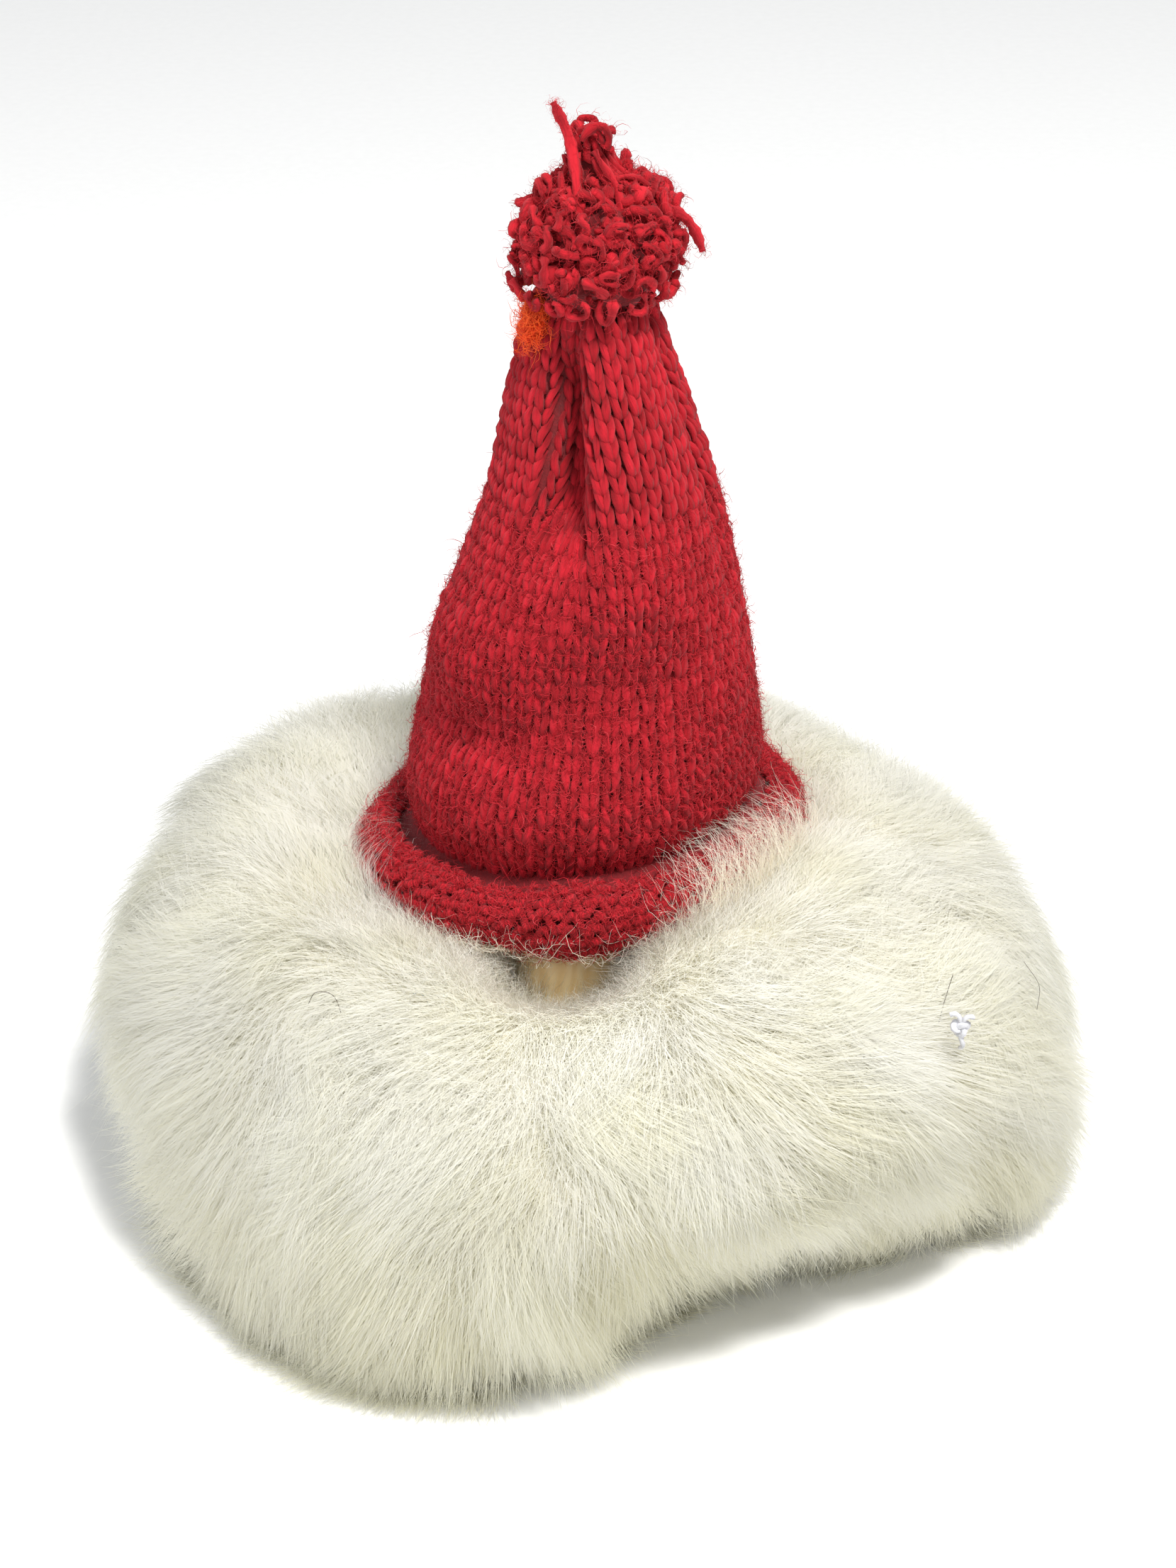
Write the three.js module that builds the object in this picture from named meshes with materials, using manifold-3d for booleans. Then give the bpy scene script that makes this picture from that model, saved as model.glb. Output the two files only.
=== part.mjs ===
// Tomte gnome figurine, in millimetres, +Z up, nose towards -Y, origin at the centre of its flat base.
// A stuffed cotton figure with a weight bag wears a pelt of long fur, sewn from five pieces, and a
// wooden nose. A knitted cap with a rolled brim and a ravelled crown is pulled over its head.
import * as THREE from "three";
import { mergeVertices } from "three/addons/utils/BufferGeometryUtils.js";
import Module from "manifold-3d";

const wasm = await Module();
wasm.setup();

// ---- driving dimensions ----
const CLEAR = 0.4; // gap left between pieces that touch
const TURN = 2 * Math.PI;
const FRONT = -Math.PI / 2; // azimuth of the nose, counted from +X

const FELT_RADIUS = 44.5;
const FELT_THICK = 1.5;
const CARD_RADIUS = 43;
const CARD_THICK = 2;

const SACK_WALL = 1.2;
const NECK_RADIUS = 11.5;
const NECK_TIE_HEIGHT = 57.5;
const HEAD_TOP = 100;

const NOSE_RADIUS = 10;
const NOSE_CENTRE = new THREE.Vector3(-2, -24, 51);
const GLUE_RADIUS = 5;

const BRIM_HEIGHT = 66; // centre of the rolled brim above the table
const BRIM_RADIUS = 34; // centre line of the roll
const BRIM_ROLL = 6.5; // half the thickness of the roll
const BRIM_TILT = 0.1; // rise of the brim for each millimetre towards +X
const CAP_OVAL = 0.94; // front-to-back size of the cap over its width
const CAP_WALL = 3; // knit with the fuzz that stands on it
const CROWN_HEIGHT = 98; // gathered crown above the centre of the brim
const STUFFING_BOTTOM = 53; // lower end of the cap's stuffing above the centre of the brim
const YARN_RADIUS = 0.9;

// Cap outside: height above the brim's centre, radius, and how far its middle leans towards +X.
const CAP_SHAPE = [
  [0, 32.2, 0],
  [12, 32.3, 0.6],
  [24, 30.8, 1.2],
  [38, 28.3, 1.9],
  [54, 24.2, 3],
  [70, 19.8, 3.6],
  [84, 16.3, 2.6],
  [98, 12.4, 1.8],
  [131, 3, 0],
];

// Folds and bulges of the cap: azimuth and height of the middle, reach in both, push outwards.
const CAP_FOLDS = [
  { turn: FRONT - 0.28, height: 82, wide: 0.3, tall: 15, push: -6 },
  { turn: FRONT + 0.45, height: 78, wide: 0.45, tall: 20, push: 1.8 },
  { turn: FRONT - 0.95, height: 40, wide: 0.55, tall: 9, push: 1.8 },
  { turn: FRONT + 0.1, height: 56, wide: 0.55, tall: 9, push: 1.8 },
  { turn: FRONT - 0.2, height: 38, wide: 0.75, tall: 8, push: -2.2 },
  { turn: FRONT - 0.35, height: 22, wide: 0.8, tall: 8, push: 1.2 },
];

// ---- general helpers ----

/** Straight-line interpolation in a table of [key, value, ...] rows. */
function lookUp(table, key, column) {
  const last = table.length - 1;
  if (key <= table[0][0]) return table[0][column];
  if (key >= table[last][0]) return table[last][column];
  const upper = table.findIndex((row) => row[0] > key);
  const [low, high] = [table[upper - 1], table[upper]];
  const share = (key - low[0]) / (high[0] - low[0]);
  return low[column] + share * (high[column] - low[column]);
}

/** A smooth bump of height 1 at azimuth `middle`, gone at about twice `reach` from it. */
function azimuthBump(turn, middle, reach) {
  const off = Math.atan2(Math.sin(turn - middle), Math.cos(turn - middle));
  return Math.exp(-((off / reach) ** 2));
}

/** The smooth curve through hand-chosen [radius, height] points, as a list of points. */
function smooth(points, count) {
  return new THREE.SplineCurve(points.map(([r, z]) => new THREE.Vector2(r, z))).getPoints(count);
}

/** A profile moved sideways by `distance`, to the left of its direction of travel. */
function offsetProfile(profile, distance) {
  return profile.map((point, i) => {
    const before = profile[Math.max(i - 1, 0)];
    const after = profile[Math.min(i + 1, profile.length - 1)];
    const along = after.clone().sub(before).normalize();
    const moved = new THREE.Vector2(point.x - along.y * distance, point.y + along.x * distance);
    if (point.x === 0) moved.x = 0;
    return moved;
  });
}

/** Turn a profile of [radius, height] points into a closed solid about the Z axis. */
function revolve(profile, segments) {
  const points = profile.map((p) => (p.isVector2 ? p : new THREE.Vector2(p[0], p[1])));
  return faceOutwards(new THREE.LatheGeometry(points, segments).rotateX(Math.PI / 2));
}

/** Merge shared corners and turn the triangles over if they face inwards. */
function faceOutwards(geometry) {
  geometry.deleteAttribute("normal");
  geometry.deleteAttribute("uv");
  const merged = mergeVertices(geometry, 1e-4);
  const position = merged.getAttribute("position");
  const corners = merged.getIndex().array;
  const [a, b, c] = [new THREE.Vector3(), new THREE.Vector3(), new THREE.Vector3()];
  const kept = [];
  let volume = 0;
  for (let i = 0; i < corners.length; i += 3) {
    const [ia, ib, ic] = [corners[i], corners[i + 1], corners[i + 2]];
    if (ia === ib || ib === ic || ic === ia) continue;
    a.fromBufferAttribute(position, ia);
    b.fromBufferAttribute(position, ib);
    c.fromBufferAttribute(position, ic);
    volume += a.dot(b.cross(c));
    kept.push(ia, ib, ic);
  }
  if (volume < 0) kept.reverse();
  merged.setIndex(kept);
  return merged;
}

/** Move every corner of a geometry with `move`, which changes the point it is given. */
function reshape(geometry, move) {
  const position = geometry.getAttribute("position");
  const point = new THREE.Vector3();
  for (let i = 0; i < position.count; i += 1) {
    point.fromBufferAttribute(position, i);
    move(point);
    position.setXYZ(i, point.x, point.y, point.z);
  }
  return geometry;
}

/** The closed solid of a geometry, ready to be cut or joined. */
function toSolid(geometry) {
  const closed = faceOutwards(geometry.clone());
  return new wasm.Manifold(
    new wasm.Mesh({
      numProp: 3,
      vertProperties: new Float32Array(closed.getAttribute("position").array),
      triVerts: new Uint32Array(closed.getIndex().array),
    }),
  );
}

/** The geometry of a solid after its cuts. */
function toGeometry(solid) {
  const cut = solid.getMesh();
  const geometry = new THREE.BufferGeometry();
  geometry.setAttribute("position", new THREE.BufferAttribute(cut.vertProperties, 3));
  geometry.setIndex(new THREE.BufferAttribute(cut.triVerts, 1));
  return geometry;
}

/** A round rod along a smooth route of points, with flat ends. */
function rod(route, radius, steps) {
  const section = new THREE.Shape().absarc(0, 0, radius, 0, TURN, false);
  const curve = new THREE.CatmullRomCurve3(route.map((p) => new THREE.Vector3(...p)));
  const options = { steps, bevelEnabled: false, extrudePath: curve, curveSegments: 4 };
  return faceOutwards(new THREE.ExtrudeGeometry(section, options));
}

/** A ring of round thread about the Z axis. */
function threadRing(ringRadius, threadRadius, height) {
  const ring = new THREE.TorusGeometry(ringRadius, threadRadius, 6, 18);
  return faceOutwards(ring).translate(0, 0, height);
}

/** A round ball about the origin. */
function ball(radius, around, down) {
  return faceOutwards(new THREE.SphereGeometry(radius, around, down));
}

/** A round rod about the Y axis. */
function drum(radius, length, around) {
  return faceOutwards(new THREE.CylinderGeometry(radius, radius, length, around));
}

const materials = {
  felt: { color: 0xe9e2cf, roughness: 0.95 },
  card: { color: 0xb08c5c, roughness: 0.9 },
  cotton: { color: 0xf0ece0, roughness: 0.9 },
  stuffing: { color: 0xfafafa, roughness: 1 },
  pellets: { color: 0xd8d4c8, roughness: 0.5 },
  thread: { color: 0xf4f4f8, roughness: 0.8 },
  fur: { color: 0xe6e1cc, roughness: 0.85 },
  wood: { color: 0xe0bf84, roughness: 0.55 },
  glue: { color: 0xf2e9c8, roughness: 0.35 },
  knit: { color: 0xb8141f, roughness: 0.95 },
  orange: { color: 0xe2461c, roughness: 0.95 },
};

const gnome = new THREE.Group();

/** Add one named piece to the gnome. */
function addPiece(name, materialName, geometry, parent = gnome) {
  const material = new THREE.MeshStandardMaterial({ metalness: 0, ...materials[materialName] });
  const mesh = new THREE.Mesh(geometry, material);
  mesh.name = name;
  parent.add(mesh);
  return mesh;
}

// ---- base ----

function addBase() {
  const felt = drum(FELT_RADIUS, FELT_THICK, 32).rotateX(Math.PI / 2);
  const card = drum(CARD_RADIUS, CARD_THICK, 32).rotateX(Math.PI / 2);
  addPiece("base_felt", "felt", felt.translate(0, 0, FELT_THICK / 2));
  addPiece("base_card", "card", card.translate(0, 0, FELT_THICK + CLEAR + CARD_THICK / 2));
}

// ---- stuffed figure ----

/** Outside of the cotton sack: a round body, a tied neck and a head, from hem to top. */
function sackProfile() {
  const body = [
    [30, 4.3],
    [40, 4.7],
    [45, 9],
    [46.8, 18],
    [45.5, 28],
    [39, 35.6],
    [27, 39.6],
    [15, 41],
    [NECK_RADIUS, 44.5],
    [NECK_RADIUS, 58],
    [14, 60.5],
    [20, 63.8],
    [24.2, 70],
    [25, 78],
    [23.3, 87],
    [17.5, 95.5],
    [8.5, HEAD_TOP - 0.6],
    [0, HEAD_TOP],
  ];
  return smooth(body, 21);
}

function addSack(outside) {
  const inside = offsetProfile(outside, SACK_WALL).reverse();
  addPiece("body_sack", "cotton", revolve([...inside, ...outside], 22));
}

/** The fibre filling lies on the weight bag and runs up through the neck into the head. */
function addStuffing(outside) {
  const inside = offsetProfile(outside, SACK_WALL + CLEAR);
  const aboveBag = inside.filter((point) => point.y > 16);
  const underside = [
    [0, 27.5],
    [7.5, 27.5],
    [8.5, 23.5],
    [27, 21.3],
    [39, 16.2],
  ];
  addPiece("body_stuffing", "stuffing", revolve([...underside, ...aboveBag], 22));
}

/** A small bag of pellets at the bottom keeps the figure upright. */
function addWeightBag() {
  const bagOutside = smooth([[0, 5.9], [30, 6.1], [39, 10.5], [30, 17.5], [9, 20.6], [4.6, 26.5]], 10);
  const bagInside = offsetProfile(bagOutside, 0.7);
  const fillOutside = offsetProfile(bagOutside, 0.7 + CLEAR).slice(0, -2);
  const fillTop = new THREE.Vector2(0, fillOutside[fillOutside.length - 1].y);
  addPiece("weight_bag", "cotton", revolve([...bagOutside, ...bagInside.reverse()], 18));
  addPiece("weight_pellets", "pellets", revolve([...fillOutside, fillTop], 18));
  addPiece("weight_bag_tie", "thread", threadRing(6.4, 0.6, 24.6));
}

// ---- nose ----

function noseBall(radius) {
  return ball(radius, 18, 12).translate(...NOSE_CENTRE);
}

/** The dab of glue lies between the back of the nose and the front of the neck. */
function gluePlug(radius) {
  const length = 8;
  const middle = -NECK_RADIUS - length / 4;
  return drum(radius, length, 16).translate(NOSE_CENTRE.x, middle, NOSE_CENTRE.z);
}

function addNose() {
  const neckRoom = drum(NECK_RADIUS + CLEAR, 40, 28);
  neckRoom.rotateX(Math.PI / 2).translate(0, 0, NOSE_CENTRE.z);
  const glue = toSolid(gluePlug(GLUE_RADIUS))
    .subtract(toSolid(noseBall(NOSE_RADIUS + CLEAR)))
    .subtract(toSolid(neckRoom));
  addPiece("nose_ball", "wood", noseBall(NOSE_RADIUS));
  addPiece("nose_glue", "glue", toGeometry(glue));
}

// ---- fur pelt ----

/** Section of the pelt: up its inside against the sack, then over the pile and down to the table. */
const PELT_INSIDE = [
  [46, 0.8],
  [46, 5],
  [47.6, 12],
  [47.9, 20],
  [46.6, 28.5],
  [40, 36.6],
  [28, 41],
  [15, 42.4],
];
const PELT_OUTSIDE = [
  [14, 45.6],
  [14, 53],
  [18, 56.3],
  [26, 57.6],
  [36, 57.8],
  [43, 61],
  [52, 63.5],
  [63, 61.5],
  [75, 55],
  [84, 45],
  [89, 33],
  [90, 21],
  [86, 9],
  [76, 0.8],
];

// Where the pile is longer or shorter than its section: azimuth, reach, change low and high up.
const PELT_LOCKS = [
  { turn: FRONT - 0.42, reach: 0.6, low: 9, high: 2 },
  { turn: FRONT + 0.56, reach: 0.42, low: -21, high: -3 },
  { turn: -0.2, reach: 0.55, low: 6, high: 4 },
  { turn: 0.6, reach: 0.5, low: -1, high: 3 },
  { turn: Math.PI / 2, reach: 0.7, low: -6, high: -5 },
];

const PELT_LOW = 12; // below this height a lock has its low length
const PELT_HIGH = 36; // above this height it has its high length
const FACE_DROP = 12; // how far the pile is parted down in front of the nose

/** Make the round pelt as uneven as combed fur, without moving its inside or its foot. */
function combPile(point) {
  const radius = Math.hypot(point.x, point.y);
  const turn = Math.atan2(point.y, point.x);
  const rise = THREE.MathUtils.clamp((point.z - PELT_LOW) / (PELT_HIGH - PELT_LOW), 0, 1);
  const outer = THREE.MathUtils.smoothstep(radius, 52, 74);
  let longer = 0;
  for (const lock of PELT_LOCKS) {
    const length = lock.low + rise * (lock.high - lock.low);
    longer += length * azimuthBump(turn, lock.turn, lock.reach);
  }
  const scale = (radius + longer * outer) / radius;
  const upper = THREE.MathUtils.smoothstep(point.z, 45, 54);
  const nearCap = 1 - THREE.MathUtils.smoothstep(radius, 44, 66);
  const nearNose = 1 - THREE.MathUtils.smoothstep(radius, 40, 58);
  const drop = FACE_DROP * azimuthBump(turn, FRONT - 0.06, 0.5) * nearNose;
  point.z += upper * (nearCap * BRIM_TILT * point.x - drop);
  point.x *= scale;
  point.y *= scale;
}

/** A tall wedge between two azimuths, with room for the seams on both sides. */
function wedge(from, to) {
  const reach = 200;
  const middle = (from + to) / 2;
  const inset = CLEAR / 2 / Math.sin((to - from) / 2);
  const corner = (turn) => [reach * Math.cos(turn), reach * Math.sin(turn)];
  const shape = new THREE.Shape();
  shape.moveTo(0, 0);
  shape.lineTo(...corner(from));
  shape.lineTo(...corner(middle));
  shape.lineTo(...corner(to));
  shape.closePath();
  const prism = new THREE.ExtrudeGeometry(shape, { depth: 100, bevelEnabled: false });
  return prism.translate(inset * Math.cos(middle), inset * Math.sin(middle), -10);
}

function addPelt() {
  const inside = smooth(PELT_INSIDE.slice(1), 6);
  const outside = smooth(PELT_OUTSIDE, 16);
  const foot = new THREE.Vector2(...PELT_INSIDE[0]);
  const round = revolve([foot, ...inside, ...outside, foot.clone()], 44);
  const pelt = toSolid(reshape(round, combPile))
    .subtract(toSolid(noseBall(NOSE_RADIUS + CLEAR)))
    .subtract(toSolid(gluePlug(GLUE_RADIUS + CLEAR)));
  const pieces = {
    beard_right: [FRONT - 0.05, FRONT + 0.95],
    fur_right: [FRONT + 0.95, FRONT + 2.3],
    fur_back: [FRONT + 2.3, FRONT + 3.95],
    fur_left: [FRONT + 3.95, FRONT + 5.2],
    beard_left: [FRONT + 5.2, FRONT - 0.05 + TURN],
  };
  for (const [name, [from, to]] of Object.entries(pieces)) {
    addPiece(name, "fur", toGeometry(pelt.intersect(toSolid(wedge(from, to)))));
  }
}

/** A knotted end of white sewing thread that lies on the pile at the right of the beard. */
function addThreadKnot() {
  const knot = ball(2.4, 12, 8);
  reshape(knot, (point) => {
    point.z *= 1.25;
    point.x *= 0.9 + 0.12 * Math.cos(2 * Math.atan2(point.y, point.z));
  });
  addPiece("thread_knot", "thread", knot.translate(64.5, -48.6, 54.4));
}

// ---- knitted cap ----

const cap = new THREE.Group();
cap.position.z = BRIM_HEIGHT;
gnome.add(cap);

/** How far the folds push the cap's side outwards at one place. */
function foldPush(turn, height) {
  let push = 0;
  for (const fold of CAP_FOLDS) {
    const level = Math.exp(-(((height - fold.height) / fold.tall) ** 2));
    push += fold.push * level * azimuthBump(turn, fold.turn, fold.wide);
  }
  return push;
}

/** Lean, fold and flatten a round cap piece, and tilt its lower edge. */
function drape(point) {
  const turn = Math.atan2(point.y, point.x);
  const scale = 1 + foldPush(turn, point.z) / lookUp(CAP_SHAPE, point.z, 1);
  const tilted = 1 - THREE.MathUtils.smoothstep(point.z, 6, 34);
  const lift = BRIM_TILT * point.x * tilted;
  const lean = lookUp(CAP_SHAPE, point.z, 2);
  point.set(point.x * scale + lean, point.y * scale * CAP_OVAL, point.z + lift);
}

/** Outside of the cap from above the roll to the crown, moved in by `depth`. */
function capSide(from, to, steps, depth) {
  const side = [];
  for (let i = 0; i <= steps; i += 1) {
    const height = from + ((to - from) * i) / steps;
    side.push([lookUp(CAP_SHAPE, height, 1) - depth, height]);
  }
  return side;
}

/** The rolled edge: an arc from inside the mouth, underneath and round to the top of the roll. */
function rollArc(steps) {
  const [start, end] = [1.1 * Math.PI, 2.53 * Math.PI];
  const arc = [];
  for (let i = 0; i <= steps; i += 1) {
    const turn = start + ((end - start) * i) / steps;
    arc.push([BRIM_RADIUS + BRIM_ROLL * Math.cos(turn), BRIM_ROLL * Math.sin(turn)]);
  }
  return arc;
}

function addKnit() {
  const outside = capSide(8, CROWN_HEIGHT, 10, 0);
  const inside = capSide(4, CROWN_HEIGHT, 9, CAP_WALL).reverse();
  const roll = rollArc(9);
  const section = [...roll, ...outside, ...inside, roll[0]];
  addPiece("cap_knit", "knit", reshape(revolve(section, 34), drape), cap);
}

function addCapStuffing() {
  const side = capSide(STUFFING_BOTTOM, CROWN_HEIGHT - 2, 7, CAP_WALL + 1.1);
  const plug = [[0, STUFFING_BOTTOM + 1], ...side, [0, CROWN_HEIGHT - 1]];
  addPiece("cap_stuffing", "stuffing", reshape(revolve(plug, 20), drape), cap);
}

/** The crown is gathered by a turn of yarn, and the cut edge above it has ravelled into loops. */
function addCrown() {
  const tie = threadRing(14.6, YARN_RADIUS, CROWN_HEIGHT - 1.2);
  const fringe = smooth([[0, 98.6], [13, 98.8], [14.2, 106], [12.6, 114], [8, 120], [4, 126], [0, 128]], 9);
  addPiece("crown_tie", "knit", reshape(tie, drape), cap);
  addPiece("crown_fringe", "knit", reshape(revolve(fringe, 20), drape), cap);
}

/** Two long yarn ends stand clear of the loops: a twisted tall one and one that hooks to the right. */
function addYarnEnds() {
  const tall = [[-2, -0.5, 128.6], [-2.6, -0.8, 130.6], [-4.4, -1, 132.6], [-5.4, -1, 134.6]];
  const hooked = [
    [14.6, -2, 112.4],
    [16.8, -2.4, 113.4],
    [19.4, -2.8, 112.2],
    [20.8, -3, 109],
    [21.6, -3, 106.4],
  ];
  addPiece("yarn_end_tall", "knit", rod(tall, YARN_RADIUS, 6), cap);
  addPiece("yarn_end_hooked", "knit", rod(hooked, YARN_RADIUS, 8), cap);
}

/** A tuft of orange wool has caught on the left of the crown. */
function addOrangeTuft() {
  const tuft = ball(1, 12, 8).scale(2.2, 1.2, 4.2).translate(-9.6, -11.2, 92);
  addPiece("orange_tuft", "orange", tuft, cap);
}

// ---- assembly ----

function addFigure() {
  const outside = sackProfile();
  addBase();
  addSack(outside);
  addStuffing(outside);
  addWeightBag();
  addPiece("neck_tie", "thread", threadRing(NECK_RADIUS + 1.2, 0.7, NECK_TIE_HEIGHT));
  addNose();
  addPelt();
  addThreadKnot();
}

function addCap() {
  addKnit();
  addCapStuffing();
  addCrown();
  addYarnEnds();
  addOrangeTuft();
}

addFigure();
addCap();

export default gnome;
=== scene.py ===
"""The looks of a tomte gnome figurine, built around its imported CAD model.

A cotton figure wears a pelt of long cream fur, sewn from five pieces, and a wooden nose. A knitted
red cap with a rolled brim and a ravelled crown is pulled over its head. Lengths here are in
millimetres in the row frame, +Z up and the nose towards -Y, and become metres in make_mesh().
"""

import math

import bpy
import numpy as np
from mathutils import Matrix, Vector


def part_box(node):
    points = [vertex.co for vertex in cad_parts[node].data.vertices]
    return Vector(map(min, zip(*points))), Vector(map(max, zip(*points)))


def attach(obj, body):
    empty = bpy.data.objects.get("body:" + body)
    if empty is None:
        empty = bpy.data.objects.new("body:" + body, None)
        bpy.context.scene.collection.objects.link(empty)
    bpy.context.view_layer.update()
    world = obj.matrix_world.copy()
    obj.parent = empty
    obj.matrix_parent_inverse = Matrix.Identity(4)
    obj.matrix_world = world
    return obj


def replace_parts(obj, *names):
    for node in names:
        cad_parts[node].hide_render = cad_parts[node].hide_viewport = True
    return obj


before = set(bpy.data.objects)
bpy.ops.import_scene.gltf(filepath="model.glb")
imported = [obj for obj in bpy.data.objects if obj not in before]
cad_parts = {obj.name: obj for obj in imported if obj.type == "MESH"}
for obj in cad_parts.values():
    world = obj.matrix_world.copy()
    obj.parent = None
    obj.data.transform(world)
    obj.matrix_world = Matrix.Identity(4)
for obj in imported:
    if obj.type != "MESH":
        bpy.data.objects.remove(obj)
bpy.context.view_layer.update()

MM = 0.001
TURN = 2 * math.pi
FRONT = -math.pi / 2  # azimuth of the nose, counted from +X
UP = np.array([0.0, 0.0, 1.0])

# ---- driving dimensions, as in the CAD part ----

FLOOR_GAP = 0.7  # nothing of the pile lies lower than this

HEAD_TOP = 100.0
NECK_RADIUS = 11.5
NECK_TIE_HEIGHT = 57.5
NOSE_RADIUS = 10.0
NOSE_CENTRE = np.array([-2.0, -24.0, 51.0])
KNOT_CENTRE = np.array([64.5, -48.6, 54.4])

BRIM_HEIGHT = 66.0
BRIM_RADIUS = 34.0
BRIM_ROLL = 6.5
BRIM_TILT = 0.1
CAP_OVAL = 0.94
CROWN_HEIGHT = 98.0
YARN = 0.9

# Cap outside: height above the brim's centre, radius, and how far its middle leans towards +X.
CAP_SHAPE = [
    (0, 32.2, 0),
    (12, 32.3, 0.6),
    (24, 30.8, 1.2),
    (38, 28.3, 1.9),
    (54, 24.2, 3),
    (70, 19.8, 3.6),
    (84, 16.3, 2.6),
    (98, 12.4, 1.8),
    (131, 3, 0),
]

# Folds and bulges: azimuth, height, reach to -azimuth and to +azimuth, reach in height, push, and
# how steep the sides are.
CAP_FOLDS = [
    (FRONT - 0.32, 79, 0.3, 0.18, 15, -9.0, 4),
    (FRONT + 0.02, 80, 0.14, 0.6, 18, 2.6, 2),
    (FRONT - 0.95, 43, 0.55, 0.55, 9, 2.4, 2),
    (FRONT + 0.1, 56, 0.55, 0.55, 9, 1.8, 2),
    (FRONT - 0.7, 29, 0.6, 0.55, 6, -3.2, 2),
    (FRONT - 0.1, 38, 0.6, 0.6, 7, -2.0, 2),
    (FRONT - 0.35, 18, 0.8, 0.8, 7, 1.6, 2),
]

# Outside of the pile: radius and height from the neck to where the lowest fur lies on the table.
PILE_SECTION = [
    (14, 50),
    (18, 54.5),
    (26, 60.5),
    (36, 64),
    (43, 67.5),
    (52, 68),
    (62, 64),
    (73, 55),
    (80, 44.5),
    (83.5, 33),
    (83.5, 21),
    (80.5, 10),
    (77.5, 3.6),
    (76, 1.4),
]

# Where the pile is longer or shorter: azimuth, reach, change low and high up.
PILE_LOCKS = [
    (FRONT - 0.52, 0.62, 7, 2),
    (FRONT + 0.46, 0.46, -24, -3),
    (-0.2, 0.55, 8, 4),
    (0.6, 0.5, -3, -1),
    (math.pi / 2, 0.5, -6, -5),
    (2.25, 0.6, 4, 8),
    (math.pi, 0.55, -5, 2),
]
PILE_LOW = 12
PILE_HIGH = 36
FACE_DROP = 14

PANELS = {
    "beard_right": (FRONT - 0.05, FRONT + 0.95),
    "fur_right": (FRONT + 0.95, FRONT + 2.3),
    "fur_back": (FRONT + 2.3, FRONT + 3.95),
    "fur_left": (FRONT + 3.95, FRONT + 5.2),
    "beard_left": (FRONT + 5.2, FRONT - 0.05 + TURN),
}


# ---- numbers and curves ----


def smoothstep(value, low, high):
    """0 below low, 1 above high, and a smooth rise between them."""
    share = np.clip((value - low) / (high - low), 0, 1)
    return share * share * (3 - 2 * share)


def turned(turn, middle):
    """How far an azimuth lies past the middle one, from -pi to pi."""
    return (turn - middle + math.pi) % TURN - math.pi


def bump(turn, middle, reach):
    """A smooth bump of height 1 at an azimuth."""
    return np.exp(-((turned(turn, middle) / reach) ** 2))


def unit(vectors):
    """The same directions at length 1."""
    return vectors / np.maximum(np.linalg.norm(vectors, axis=-1, keepdims=True), 1e-9)


def smooth_rows(rows, count):
    """The smooth curve through given rows, as count rows."""
    rows = np.array(rows, float)
    ends = np.vstack([2 * rows[0] - rows[1], rows, 2 * rows[-1] - rows[-2]])
    at = np.linspace(0, len(rows) - 1, count)
    first = np.minimum(at.astype(int), len(rows) - 2)
    t = (at - first)[:, None]
    a, b, c, d = (ends[first + k] for k in range(4))
    bend = (2 * a - 5 * b + 4 * c - d) * t**2 + (3 * b - a - 3 * c + d) * t**3
    return 0.5 * (2 * b + (c - a) * t + bend)


def ripple(points, scale, seed):
    """A smooth uneven value, mostly from -1 to 1, that changes over about scale millimetres."""
    waves = 7
    rng = np.random.default_rng(seed)
    ways = unit(rng.normal(size=(waves, points.shape[-1])))
    ways *= TURN / scale * rng.uniform(0.45, 1.1, (waves, 1))
    total = np.sin(points @ ways.T + rng.uniform(0, TURN, waves)).sum(-1)
    return total / math.sqrt(waves) * 1.2


def gaussian(rng, size, spread):
    """Normal random numbers, cut off at 2.5 times their spread."""
    return np.clip(rng.normal(size=size), -2.5, 2.5) * spread


# ---- meshes ----


def make_mesh(name, points, faces, uv=None, normals=None):
    """A mesh object from points in millimetres and lists of equal-sided faces."""
    mesh = bpy.data.meshes.new(name)
    corners = np.concatenate([f.ravel() for f in faces]).astype(np.int32)
    sizes = np.concatenate([np.full(len(f), f.shape[1]) for f in faces])
    starts = np.concatenate([[0], np.cumsum(sizes)[:-1]]).astype(np.int32)
    mesh.vertices.add(len(points))
    mesh.vertices.foreach_set("co", (points * MM).astype(np.float32).ravel())
    mesh.loops.add(len(corners))
    mesh.loops.foreach_set("vertex_index", corners)
    mesh.polygons.add(len(starts))
    mesh.polygons.foreach_set("loop_start", starts)
    mesh.polygons.foreach_set("use_smooth", np.ones(len(starts), bool))
    if uv is not None:
        layer = mesh.uv_layers.new(name="OFBake")
        layer.data.foreach_set("uv", uv[corners].astype(np.float32).ravel())
    mesh.update(calc_edges=True)
    if normals is not None:
        kept = mesh.attributes.new("custom_normal", "FLOAT_VECTOR", "POINT")
        kept.data.foreach_set("vector", normals.astype(np.float32).ravel())
    mesh.validate()
    piece = bpy.data.objects.new(name, mesh)
    bpy.context.scene.collection.objects.link(piece)
    return piece


def dress(piece, material, body):
    """Give a piece its material and its CAD body."""
    piece.data.materials.append(material)
    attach(piece, body)
    return piece


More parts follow.
